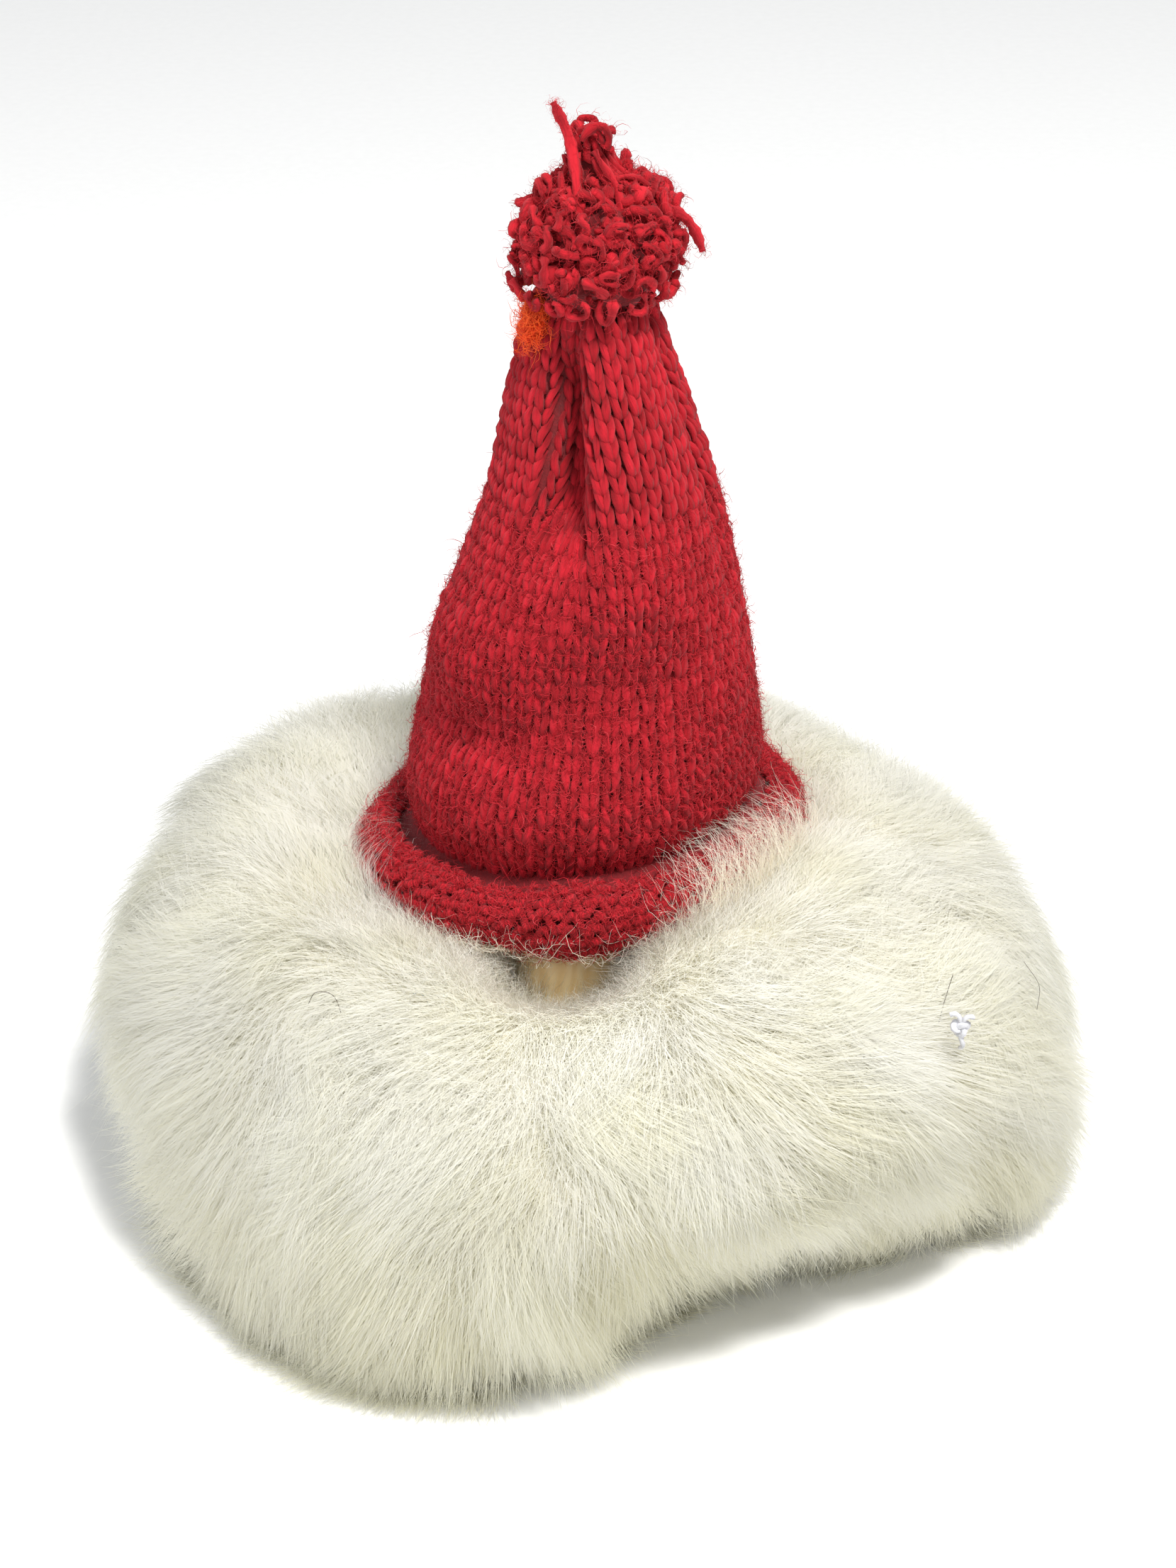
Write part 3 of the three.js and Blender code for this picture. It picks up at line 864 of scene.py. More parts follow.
def top_strands(rng):
    """Yarn that stands up in a narrow bunch above the mass."""
    count = 44
    share = np.linspace(0, 1, CROWN_STEPS)
    turn = rng.uniform(0, TURN, (count, 1))
    low = rng.uniform(108, 115, (count, 1))
    high = rng.uniform(119, 130.5, (count, 1))
    height = low + (high - low) * share
    inside = rng.uniform(0.35, 0.95, (count, 1))
    wave = 0.5 * np.sin(share * rng.uniform(4, 9, (count, 1)) + rng.uniform(0, TURN, (count, 1)))
    turn = turn + gaussian(rng, (count, 1), 0.5) * share
    middle, _, out = crown_axes(turn, height)
    return middle + out * (crown_radius(height) * inside + wave)[..., None]


def top_lobes(rng):
    """Rounded loops that end the bunch, the largest on the right."""
    count = 12
    turn = np.arange(count) * 2.4 + 0.2
    height = rng.uniform(121, 130.0, count)
    middle, around, out = crown_axes(turn, height)
    centres = middle + out * rng.uniform(0.4, 2.6, count)[:, None] + np.array([0.8, 0, 0])
    ring = rng.uniform(1.3, 2.2, count)
    start = rng.uniform(-0.9, 0.2, count)
    end = start + rng.uniform(3.4, 4.6, count)
    up = np.repeat(UP[None], count, 0)
    return ring_paths(centres, unit(around + 0.5 * out), up, ring, start, end, ring)


def add_crown():
    """The cut edge above the gathers has ravelled into a mass of loops."""
    rng = np.random.default_rng(41)
    parts = [hanging_loops(rng), mass_loops(rng), top_strands(rng), top_lobes(rng)]
    thick = [(0.6, 0.74), (0.5, 0.82), (0.5, 0.75), (0.5, 0.75)]
    made = []
    for seed, (paths, (low, high)) in enumerate(zip(parts, thick)):
        way = unit(gaussian(rng, (len(paths), 1, 3), 1.0))
        paths += ripple(paths, 5.0, 60 + seed)[..., None] * way * 0.8
        radii = rng.uniform(low, high, (len(paths), 1))
        radii = radii * (1 + 0.25 * ripple(paths, 2.4, 70 + seed))
        made.append(rods(paths, radii, 8, ply=0.14, twist=2.0, seed=80 + seed))
    piece = dress(make_mesh("crown_loops", *joined(made)), BRIM_YARN, "cap")
    return piece, np.concatenate(parts)


def add_crown_core():
    """Packed yarn inside the loops, coloured dark as painted shade in the holes."""
    rows = CROWN_ROWS[6::3]
    columns = 60
    turn = np.arange(columns) * TURN / columns
    rings = []
    for height, radius, _ in rows:
        middle, _, out = crown_axes(turn, np.full(columns, height))
        packed = radius - 2.1 - 2.0 * (1 - smoothstep(height, 101, 106))
        ring = middle + out * max(packed, 0.4)
        uneven = 0.8 * ripple(ring, 4.5, 90) * min(radius / 6, 1)
        rings.append(ring + out * uneven[:, None])
    piece = make_mesh("crown_core", np.concatenate(rings), tube_faces(len(rings), columns))
    return dress(piece, UNDER_KNIT_SHADE, "cap")


def add_crown_fuzz(paths):
    """Fibres round the loops of the crown."""
    rng = np.random.default_rng(43)
    count = 18000
    loop = rng.integers(0, len(paths), count)
    step = rng.integers(0, paths.shape[1], count)
    roots = paths[loop, step]
    middle = np.array([3.0, 0.0, BRIM_HEIGHT + 108.0])
    outs = unit(roots - middle + gaussian(rng, (count, 3), 5.0))
    length = 0.8 + 3.4 * rng.uniform(0, 1, count) ** 2.5
    made = fibres(rng, fuzz_paths(rng, roots, outs, length, length * 0.22, 0.8), outs, (0.06, 0.1), 0.3)
    return dress(make_mesh("crown_fuzz", *made), RED_FUZZ, "cap")


TALL_END = [
    (0.8, -9.6, 113),
    (0, -7.4, 118),
    (-0.7, -4.6, 123.5),
    (-1.4, -2.6, 128),
    (-2.5, -1.3, 131),
    (-3.5, -1, 133),
    (-4.3, -1, 134.8),
]
HOOKED_END = [
    (9.5, -4, 113.6),
    (12.2, -3, 116.2),
    (14.6, -2.6, 117.2),
    (17.2, -2.8, 115.9),
    (19.0, -3, 113.2),
    (20.0, -3, 110.4),
]


def add_yarn_end(name, route, node, thick):
    """A long loose end of yarn, with its own fibres."""
    rng = np.random.default_rng(len(name))
    line = smooth_rows(route, 26) + np.array([0, 0, BRIM_HEIGHT])
    share = np.linspace(0, 1, len(line))
    radii = thick * (1 + 0.14 * np.sin(share * 17)) * (1 - 0.35 * smoothstep(share, 0.75, 1.0))
    made = rods(line[None], radii[None], 10, ply=0.14, twist=4.0, seed=5)
    piece = dress(make_mesh(name, *made), BRIM_YARN, "cap")
    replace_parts(piece, node)
    count = 420
    roots = line[rng.integers(0, len(line), count)]
    outs = unit(gaussian(rng, (count, 3), 1.0))
    length = rng.uniform(1.0, 2.6, count)
    fuzz = fibres(rng, fuzz_paths(rng, roots, outs, length, length * 0.2, 0.8), outs, (0.05, 0.08), 0.3)
    dress(make_mesh(name + "_fuzz", *fuzz), RED_FUZZ, "cap")


def add_orange_tuft():
    """Orange wool that has caught on the left of the crown."""
    rng = np.random.default_rng(47)
    count = 620
    level = 100.2 + gaussian(rng, count, 1.5)
    turn = FRONT - 0.84 + gaussian(rng, count, 0.07)
    roots = cap_point(turn, level, rng.uniform(0.2, 1.4, count))
    outs = cap_normal(turn, level)
    length = rng.uniform(2.0, 5.0, count)
    paths = fuzz_paths(rng, roots, outs, length, length * 0.22, lift=0.35)
    paths[..., 2] += gaussian(rng, (count, 1), 1.0) * np.linspace(0, 1, paths.shape[1])
    made = fibres(rng, paths, outs, (0.07, 0.13), 0.4)
    piece = dress(make_mesh("orange_wool_tuft", *made), ORANGE_FUZZ, "cap")
    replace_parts(piece, "orange_tuft")


def add_cap():
    """The whole cap."""
    cloth = add_cap_cloth()
    stitches = add_stitches()
    brim = add_brim()
    fuzz = add_cap_fuzz()
    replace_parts(cloth, "cap_knit")
    loops, paths = add_crown()
    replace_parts(loops, "crown_fringe", "crown_tie")
    add_crown_core()
    add_crown_fuzz(paths)
    add_yarn_end("yarn_end_tall_wool", TALL_END, "yarn_end_tall", YARN)
    add_yarn_end("yarn_end_hooked_wool", HOOKED_END, "yarn_end_hooked", YARN)
    add_orange_tuft()
    return cloth, [*stitches, brim, *fuzz]


# ---- fur pelt ----

PILE_ROWS = smooth_rows(PILE_SECTION, 400)
PILE_REACH = np.concatenate([[0], np.cumsum(np.linalg.norm(np.diff(PILE_ROWS, axis=0), axis=1))])
PILE_END = PILE_REACH[-1]


def pile_point(reach, turn):
    """A place on the pile's outside: distance along its section, and azimuth."""
    reach, turn = np.broadcast_arrays(reach, turn)
    radius = np.interp(reach, PILE_REACH, PILE_ROWS[:, 0])
    height = np.interp(reach, PILE_REACH, PILE_ROWS[:, 1])
    rise = np.clip((height - PILE_LOW) / (PILE_HIGH - PILE_LOW), 0, 1)
    longer = 0.0
    for middle, wide, low, high in PILE_LOCKS:
        longer = longer + (low + rise * (high - low)) * bump(turn, middle, wide)
    outer = radius + longer * smoothstep(radius, 52, 74)
    upper = smoothstep(height, 45, 54)
    near_cap = 1 - smoothstep(radius, 44, 66)
    near_nose = 1 - smoothstep(radius, 40, 60)
    drop = FACE_DROP * bump(turn, FRONT - 0.07, 0.27) * near_nose
    x, y = outer * np.cos(turn), outer * np.sin(turn)
    z = height + upper * (near_cap * BRIM_TILT * radius * np.cos(turn) - drop)
    return np.stack([x, y, z], -1)


def pile_normal(reach, turn):
    """The direction straight out of the pile."""
    down = pile_point(reach + 1.5, turn) - pile_point(reach - 1.5, turn)
    around = pile_point(reach, turn + 0.02) - pile_point(reach, turn - 0.02)
    return unit(np.cross(down, around))


def pile_lumps(place):
    """How far the pile swells or sinks by place, as tufts of a few centimetres do."""
    return 1.9 * ripple(place, 34, 15) + 1.3 * ripple(place, 13, 18)


def comb_heading(reach, turn):
    """Which way the hair is combed: its angle from straight down the slope, towards +azimuth."""
    place = pile_point(reach, turn)
    heading = 0.45 * ripple(place, 60, 11) + 0.45 * ripple(place, 24, 12)
    parted = turned(turn, FRONT - 0.03)
    side = np.tanh(parted / 0.4) * np.exp(-((parted / np.where(parted < 0, 1.5, 1.2)) ** 4))
    strength = np.where(parted < 0, 0.95, 0.65) * (1 - 0.35 * smoothstep(reach, 40, 100))
    return heading + side * strength


STRAND_STEPS = 6


def lay_strands(reach, turn, length, heading, depth, proud):
    """Paths of hairs that rise out of the pile and lie along it, and past its lower edge outwards."""
    share = np.linspace(0, 1, STRAND_STEPS)
    along = length[:, None] * share
    radius = np.interp(reach, PILE_REACH, PILE_ROWS[:, 0])[:, None]
    at = reach[:, None] + along * np.cos(heading)[:, None]
    turns = turn[:, None] + along * np.sin(heading)[:, None] / np.maximum(radius, 20)
    out = pile_normal(np.minimum(at, PILE_END - 1.6), turns)
    level = proud[:, None] * share**1.6 - depth[:, None] * (1 - share) ** 1.5
    past = np.maximum(at - PILE_END, 0) * 0.55
    splay = np.stack([np.cos(turns), np.sin(turns), 0 * turns], -1) * past[..., None]
    return pile_point(np.minimum(at, PILE_END), turns) + out * level[..., None] + splay, out


def lock_leaders(seed, reach, turn, cell):
    """Where the leading hair of each hair's lock grows, on a shaken grid, and the lock's own luck."""
    rings = np.floor(reach / cell)
    across = np.interp((rings + 0.5) * cell, PILE_REACH, PILE_ROWS[:, 0])
    count = np.maximum(np.round(TURN * across / cell), 6)
    spokes = np.floor((turn % TURN) / TURN * count)
    shake = (np.sin(rings * 127.1 + spokes * 311.7 + seed) * 43758.5453) % 1.0
    other = (np.sin(rings * 269.5 + spokes * 183.3 + seed) * 24634.6345) % 1.0
    lead_reach = (rings + 0.15 + 0.7 * shake) * cell
    lead_turn = (spokes + 0.15 + 0.7 * other) * TURN / count
    return lead_reach, lead_turn, (shake + other * 7) % 1.0


def hair_length(reach, turn):
    """Length of the hair by place: short at the cap, long low down, short on the front right."""
    short_side = bump(turn, FRONT + 0.6, 0.5) * smoothstep(reach, 70, 100)
    long_side = bump(turn, FRONT - 0.55, 0.75) * smoothstep(reach, 60, 105)
    face = bump(turn, FRONT - 0.05, 0.4) * (1 - smoothstep(reach, 30, 48))
    length = 13 + 15 * smoothstep(reach, 30, 75) + 8 * long_side - 9 * short_side - 4 * face
    return length + 2.0 * ripple(pile_point(reach, turn), 18, 14)


def keep_clear(paths):
    """Push hairs off the table, out of the rolled brim and off the nose."""
    x, y, _ = np.moveaxis(paths, -1, 0)
    turn = np.arctan2(y / CAP_OVAL, x)
    middle = roll_point(turn, 0.0, -BRIM_ROLL)
    for centre, room in ((middle, BRIM_ROLL + 0.7), (NOSE_CENTRE, NOSE_RADIUS + 0.4)):
        away = paths - centre
        far = np.linalg.norm(away, axis=-1, keepdims=True)
        paths = np.where(far < room, centre + away / np.maximum(far, 1e-6) * room, paths)
    above = paths[..., 2] - FLOOR_GAP
    paths[..., 2] = FLOOR_GAP + np.maximum(above, 0) + 0.1 * np.maximum(-above, 0)
    return paths


HAIR_SHARE = 1.0
PIECE_STRANDS = 19500  # most hairs in one piece

# Kinds of hair: number, share of the long hair's length, spread of its heading, how far its tips
# stand proud, crimp, how much it gathers in locks, and least and greatest width.
HAIR_KINDS = {
    "long": (150000, 1.0, 0.2, 0.0, 0.5, 1.0, 0.08, 0.14),
    "down": (130000, 0.6, 1.2, 1.8, 1.2, 0.4, 0.055, 0.09),
}


LOCK_SIZES = [(3.4, 0.5, 0.7, 1.7), (11.0, 0.4, 0.85, 5.1)]  # cell, pull high, pull low, seed


def spread_roots(rng, count, kind):
    """Roots all over the pile: long hair mostly low down, down mostly near the cap."""
    steps = np.linspace(3, PILE_END - 6, 600)
    mostly_low = 0.3 + 0.7 * smoothstep(steps, 30, 68)
    density = mostly_low if kind == "long" else 1.3 - mostly_low
    total = np.cumsum(np.interp(steps, PILE_REACH, PILE_ROWS[:, 0]) * density)
    reach = np.interp(rng.uniform(0, 1, count), total / total[-1], steps)
    return reach, rng.uniform(0, TURN, count)


def gather_locks(rng, paths, reach, turn, kind):
    """Draw hairs towards the leading hair of their small and large locks."""
    count = len(reach)
    _, short, _, stand, _, gather, _, _ = HAIR_KINDS[kind]
    share = np.linspace(0, 1, STRAND_STEPS)
    low = smoothstep(reach, 62, 100)
    for cell, pull_high, pull_low, sign in LOCK_SIZES:
        at, about, luck = lock_leaders(sign, reach, turn, cell)
        length = hair_length(at, about) * short * (0.85 + 0.3 * luck)
        heading = comb_heading(at, about) + 1.5 * (luck - 0.5)
        proud = stand + pile_lumps(pile_point(at, about)) - 1.2
        proud += (3.0 + 11.0 * smoothstep(at, 35, 80)) * luck**2
        lead, _ = lay_strands(at, about, length, heading, np.full(count, 7.0), proud)
        pull = gather * (pull_high + (pull_low - pull_high) * low)[:, None] * share**1.3
        paths = paths + (lead - paths) * (pull * rng.uniform(0.4, 1.0, (count, 1)))[..., None]
    return paths


def loosen(rng, paths, out, length, low, crimp):
    """Let hairs stand off straight from their roots, crimp, and sag."""
    count = len(paths)
    share = np.linspace(0, 1, STRAND_STEPS)
    first = unit(paths[:, 2] - paths[:, 0])
    straight = paths[:, :1] + first[:, None] * (length[:, None] * share)[..., None]
    stray = rng.uniform(0, 1, count) ** 6
    stiff = (0.22 + low * rng.uniform(0.1, 0.6, count) + 0.4 * stray)[:, None] * share
    paths = paths + (straight - paths) * stiff[..., None]
    wave = np.sin(share * rng.uniform(4, 11, (count, 1)) + rng.uniform(0, TURN, (count, 1)))
    bend = crimp * (1 - 0.4 * low) + 1.2 * stray
    side = unit(np.cross(first, out[:, 0]))
    paths = paths + side[:, None] * (bend[:, None] * wave * share)[..., None]
    paths[..., 2] -= (0.03 + 0.08 * low)[:, None] * length[:, None] * share**2
    return paths


def grow_fur(kind, seed):
    """Roots and paths of one kind of hair, with the direction out of the pile at every point."""
    count, short, fan, stand, crimp, _, _, _ = HAIR_KINDS[kind]
    count = int(count * HAIR_SHARE)
    rng = np.random.default_rng(seed)
    reach, turn = spread_roots(rng, count, kind)
    near_cap = 1 - smoothstep(reach, 22, 52)
    low = smoothstep(reach, 62, 100)
    length = hair_length(reach, turn) * short * rng.uniform(0.7, 1.15, count)
    heading = comb_heading(reach, turn) + gaussian(rng, count, fan)
    depth = rng.uniform(5.0, 9.0, count)
    proud = stand + pile_lumps(pile_point(reach, turn)) + 1.5 * near_cap + gaussian(rng, count, 1.5)
    proud += smoothstep(reach, 35, 80) * 9.0 * rng.uniform(0, 1, count) ** 4
    paths, out = lay_strands(reach, turn, length, heading, depth, proud)
    paths = gather_locks(rng, paths, reach, turn, kind)
    paths = loosen(rng, paths, out, length, low, crimp)
    return reach, turn, keep_clear(paths), out


def panel_of(turn):
    """The number of the pelt piece that an azimuth lies in."""
    past = (turn - (FRONT - 0.05)) % TURN
    edges = np.array([high - (FRONT - 0.05) for _, high in PANELS.values()])
    return np.minimum(np.searchsorted(edges, past), len(PANELS) - 1)


def add_hair():
    """The hair of every pelt piece, in meshes of a workable size."""
    for seed, kind in enumerate(HAIR_KINDS):
        rng = np.random.default_rng(100 + seed)
        thin, wide = HAIR_KINDS[kind][-2:]
        reach, turn, paths, out = grow_fur(kind, 7 + seed)
        count = len(reach)
        # Yellower and darker towards the lower front: partly the fur's own yellow tint, partly painted
        # shade of the lower fur.
        yellow_and_low_shade = 0.36 * smoothstep(reach, 55, 105) * (0.35 + 0.65 * bump(turn, FRONT + 0.2, 1.0))
        tone = 0.14 + 1.5 * yellow_and_low_shade + 0.1 * ripple(paths[:, 2], 14, 16) + gaussian(rng, count, 0.12)
        tone = np.clip(tone, 0, 1)
        width = rng.uniform(thin, wide, count) / HAIR_SHARE**0.5
        roll = gaussian(rng, count, 0.55)
        panel = panel_of(turn)
        for number, name in enumerate(PANELS):
            members = np.flatnonzero(panel == number)
            parts = max(1, math.ceil(len(members) / PIECE_STRANDS))
            for part in range(parts):
                some = members[part::parts]
                made = strands(paths[some], width[some], out[some], roll[some], tone[some], 0.8)
                piece = make_mesh(f"{name}_{kind}_hair_{part + 1}", *made)
                dress(piece, FUR_HAIR, "figure")


def add_under_wool():
    """The dense short wool under the long hair, one closed piece to each pelt piece."""
    reach = np.linspace(3, PILE_END - 3, 60)
    inner = np.linspace(PILE_END - 8, 8, 30)
    for name, (low, high) in PANELS.items():
        columns = max(8, round((high - low) / 0.05))
        turn = np.linspace(low, high, columns)
        rings = []
        for place in reach:
            at = np.full(columns, place)
            ring = pile_point(at, turn)
            depth = 6.5 - 0.8 * pile_lumps(ring) + 1.3 * ripple(ring, 8, 19)
            rings.append(ring - pile_normal(at, turn) * depth[:, None])
        for place in inner:
            at = np.full(columns, place)
            ring = pile_point(at, turn)
            rings.append(ring - pile_normal(at, turn) * 11.0)
        points = np.concatenate(rings)
        points[:, 2] = np.maximum(points[:, 2], 1.2)
        piece = make_mesh(name + "_wool", points, panel_faces(len(rings), columns))
        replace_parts(dress(piece, UNDER_WOOL, "figure"), name)


# ---- nose and small things ----


def add_nose():
    """The turned wooden ball."""
    rows, columns = 48, 72
    tilt = np.linspace(0.02, math.pi - 0.02, rows)
    turn = np.arange(columns) * TURN / columns
    way = np.stack(
        [
            np.sin(tilt)[:, None] * np.cos(turn),
            np.cos(tilt)[:, None] * np.ones(columns) * -1,
            np.sin(tilt)[:, None] * np.sin(turn),
        ],
        -1,
    )
    radius = NOSE_RADIUS + 0.12 * ripple(way * NOSE_RADIUS, 9, 23) - 0.15
    points = (NOSE_CENTRE + way * radius[..., None]).reshape(-1, 3)
    faces = [grid_faces(rows, columns, closed_columns=True)[:, ::-1]]
    ends = np.stack([np.arange(columns), (rows - 1) * columns + np.arange(columns)[::-1]])
    piece = dress(make_mesh("nose_wood_ball", points, faces + [ends]), wood_material(), "figure")
    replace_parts(piece, "nose_ball")


def curly_piece(name, paths, width, tone, seed):
    """Fine curly hairs as one piece of the figure."""
    rng = np.random.default_rng(seed)
    count = len(paths)
    facing = np.broadcast_to(unit(np.array([0.0, -0.75, 0.65])), paths.shape)
    widths = rng.uniform(*width, count)
    made = strands(paths, widths, facing, gaussian(rng, count, 0.5), rng.uniform(*tone, count), 0.4)
    dress(make_mesh(name, *made), FUR_WISP, "figure")


# Wisps over the brim: azimuth, its spread, number, least and greatest climb round the roll, stand.
BRIM_WISPS = [
    (FRONT + 0.6, 0.07, 170, 1.9, 3.2, 2.4),
    (FRONT + 0.92, 0.17, 1000, 1.2, 3.1, 3.4),
    (FRONT + 1.25, 0.12, 260, 0.6, 1.8, 2.4),
    (FRONT + 0.45, 0.2, 130, 0.5, 1.4, 1.2),
    (FRONT + 0.05, 0.3, 40, 0.5, 1.3, 1.2),
    (FRONT - 0.5, 0.22, 200, 0.4, 1.1, 1.0),
    (FRONT - 0.95, 0.25, 220, 0.4, 1.2, 1.0),
    (FRONT - 1.5, 0.3, 90, 0.4, 0.9, 1.0),
    (FRONT + 1.9, 0.4, 90, 0.4, 1.0, 1.2),
]


def add_brim_wisps():
    """Crimped hairs of the pelt that have worked out over the lower edge of the cap."""
    rng = np.random.default_rng(53)
    share = np.linspace(0, 1, 12)
    groups = []
    for middle, spread, count, least, most, stand in BRIM_WISPS:
        turn = middle + gaussian(rng, (count, 1), spread) + gaussian(rng, (count, 1), 0.14) * share
        climb = least + (most - least) * rng.uniform(0, 1, (count, 1)) ** 1.8
        roll_turn = rng.uniform(-1.5, -0.6, (count, 1)) + climb * share
        out = -0.6 + stand * rng.uniform(0.3, 1.3, (count, 1)) * share + 1.5 * share**3 * (climb > 1.6)
        groups.append(roll_point(turn, roll_turn, np.maximum(out, 0.2)))
    paths = np.concatenate(groups)
    for axis in range(3):
        uneven = ripple(paths + rng.uniform(-30, 30, (len(paths), 1, 1)), 5.5, 55 + axis)
        paths[..., axis] += 1.2 * uneven * smoothstep(share, 0, 0.4)
    curly_piece("brim_wisps", paths, (0.055, 0.1), (0.0, 0.5), 54)


def add_nose_wisps():
    """Tangled down over the lower and left sides of the nose, tan as painted shade in the hollow."""
    rng = np.random.default_rng(57)
    count = 1700
    share = np.linspace(0, 1, 12)
    sideways = gaussian(rng, count, 0.9)
    upwards = gaussian(rng, count, 0.35) - 1.2 + 0.7 * np.maximum(sideways, 0)
    start = unit(np.stack([sideways, np.full(count, -0.7), upwards], -1))
    way = unit(gaussian(rng, (count, 3), 1.0))
    reach = rng.uniform(0.4, 1.3, (count, 1, 1)) * (share - 0.3)[:, None]
    ways = unit(start[:, None] + way[:, None] * reach)
    for axis in range(3):
        shifted = ways * NOSE_RADIUS + rng.uniform(-30, 30, (count, 1, 1))
        ways[..., axis] += 0.11 * ripple(shifted, 4.0, 58 + axis)
    ways = unit(ways)
    ways[..., 2] = np.minimum(ways[..., 2], 0.15 + 0.3 * rng.uniform(0, 1, (count, 1)) ** 3)
    level = NOSE_RADIUS + 0.25 + rng.uniform(0, 1.9, (count, 1)) ** 1.5
    paths = NOSE_CENTRE + unit(ways) * level[..., None]
    # Tones up to the tan end: painted shade in the hollow under the nose.
    curly_piece("nose_wisps", paths, (0.055, 0.1), (0.1, 1.0), 59)


# Stray hairs: route, width, and which material.
STRAY_HAIRS = [
    ([(-46, -49, 59.5), (-44.5, -50, 62.5), (-41.5, -51, 62.5), (-39.8, -53, 59)], 0.13, "dark"),
    ([(-31, -47, 58), (-27.5, -47, 60.5), (-25.5, -48, 58.5)], 0.16, "blue"),
    ([(61.5, -43, 51.5), (62.5, -42, 56), (63.8, -40, 59.5)], 0.12, "dark"),
    ([(50, -33, 63), (47, -37, 63.5), (45.5, -41, 61)], 0.09, "dark"),
    ([(77, -32, 57), (79.5, -35, 54), (79, -38, 51)], 0.09, "dark"),
]


def add_stray_hairs():
    """Single hairs and fibres that have caught in the pelt."""
    shades = {"dark": (0.05, 0.035, 0.025), "blue": (0.08, 0.16, 0.3)}
    for number, (route, width, shade) in enumerate(STRAY_HAIRS):
        material, tree, shader = new_material(f"stray_{number}", Roughness=0.5)
        _, along = chart_axes(tree)
        colour = shades[shade]
        pale = tuple(min(1.0, c * 2.2) for c in colour)
        tree.links.new(ramp(tree, along, [(0.0, colour), (1.0, pale)]), shader.inputs["Base Color"])
        path = smooth_rows(route, 18)[None]
        made = rods(path, np.full((1, 18), width / 2), 5, seed=number)
        dress(make_mesh(f"stray_hair_{number + 1}", *made), material, "figure")


def thread_material():
    """Twisted white sewing thread."""
    # Its grooves get painted shade, down to 0.72.
    return yarn_material("white_thread", (0.82, 0.83, 0.88), (0.93, 0.94, 0.98), 0.72)


def add_thread_knot(material):
    """A knotted thread end on the pile: an overhand knot with two short tails."""
    t = np.linspace(0, TURN, 60, endpoint=False)
    knot = np.stack([np.sin(t) + 2 * np.sin(2 * t), 0.8 * np.sin(3 * t), np.cos(t) - 2 * np.cos(2 * t)], -1)
    knot = knot * 0.44 + KNOT_CENTRE
    tails = [
        [(0, 0, 1), (-0.3, -0.2, 2.4), (-1.2, -0.5, 3.2), (-1.9, -0.4, 2.9)],
        [(0.4, 0, 1), (0.7, -0.4, 2.2), (1.5, -0.6, 2.7), (2.1, -0.4, 2.3)],
        [(0, 0, -1), (0.3, -0.3, -2.3), (0.6, -0.2, -3.4), (0.3, 0.6, -4.6)],
    ]
    parts = [rods(knot[None], np.full((1, 60), 0.6), 10, ply=0.12, twist=9.0, closed=True, seed=2)]
    for tail in tails:
        line = smooth_rows(tail, 16)[None] + KNOT_CENTRE
        parts.append(rods(line, np.full((1, 16), 0.42), 8, ply=0.12, twist=1.5, seed=3))
    piece = dress(make_mesh("thread_knot_tied", *joined(parts)), material, "figure")
    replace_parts(piece, "thread_knot")


# ---- inside the pelt and the cap ----


COTTON = cloth_material("cotton_jersey", (0.78, 0.74, 0.64), (0.9, 0.87, 0.8), 1500.0, 0.0003)
FILLING = cloth_material("fibre_filling", (0.86, 0.86, 0.84), (0.95, 0.95, 0.94), 260.0, 0.001)


def revolved(name, rows, material, folds=None, lowest=-math.inf):
    """A closed round piece of the figure from a section of (radius, height), with folds added."""
    columns = 96
    rows = smooth_rows(rows, 70)
    turn = np.arange(columns) * TURN / columns
    radius = np.maximum(rows[:, :1], 0.05) * np.ones(columns)
    height = np.maximum(rows[:, 1:], lowest) * np.ones(columns)
    if folds is not None:
        radius = radius + folds(radius, height, turn)
    points = np.stack([radius * np.cos(turn), radius * np.sin(turn), height], -1).reshape(-1, 3)
    piece = make_mesh(name, points, tube_faces(len(rows), columns))
    return dress(piece, material, "figure")


SACK_SECTION = [
    (30, 4.3),
    (40, 4.7),
    (45, 9),
    (46.8, 18),
    (45.5, 28),
    (39, 35.6),
    (27, 39.6),
    (15, 41),
    (NECK_RADIUS, 44.5),
    (NECK_RADIUS, 58),
    (14, 60.5),
    (20, 63.8),
    (24.2, 70),
    (25, 78),
    (23.3, 87),
    (17.5, 95.5),
    (8.5, HEAD_TOP - 0.6),
    (0, HEAD_TOP),
]


def sack_folds(radius, height, turn):
    """Gathers that fan out from the tied neck and from the closed top."""
    fan = np.sin(17 * turn + 0.6 * np.sin(3 * turn))
    neck = np.exp(-(((height - NECK_TIE_HEIGHT) / 8) ** 2)) * 0.55 * fan
    top = 0.5 * smoothstep(height, 92, 99) * np.sin(12 * turn) * np.clip(radius / 8, 0, 1)
    soft = 0.35 * np.sin(2 * turn + height / 9) + 0.25 * np.sin(3 * turn - height / 6)
    return neck + top + soft * np.clip(radius / 20, 0, 1) - 0.45


def lumps(size, scale, seed):
    """Unevenness of a soft filling."""

    def folds(radius, height, turn):
        place = np.stack([radius * np.cos(turn), radius * np.sin(turn), height], -1)
        return size * ripple(place, scale, seed) * np.clip(radius / 10, 0, 1) - size

    return folds


def add_padded(name, rows, material, folds, node):
    """A stuffed round piece that stands for a node."""
    piece = revolved(name, rows, material, folds=folds)
    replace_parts(piece, node)


BAG_SECTION = [(0, 5.9), (30, 6.1), (39, 10.5), (30, 17.5), (9, 20.6), (4.6, 26.5)]
FILLING_SECTION = [
    (0, 28),
    (8, 28),
    (9, 24),
    (27, 21.9),
    (38, 17),
    (42, 24),
    (38, 32),
    (24, 37),
    (9.5, 41),
    (8.6, 50),
    (9.6, 60),
    (17, 65),
    (21, 72),
    (22, 79),
    (19, 88),
    (12, 94),
    (0, 96.5),
]


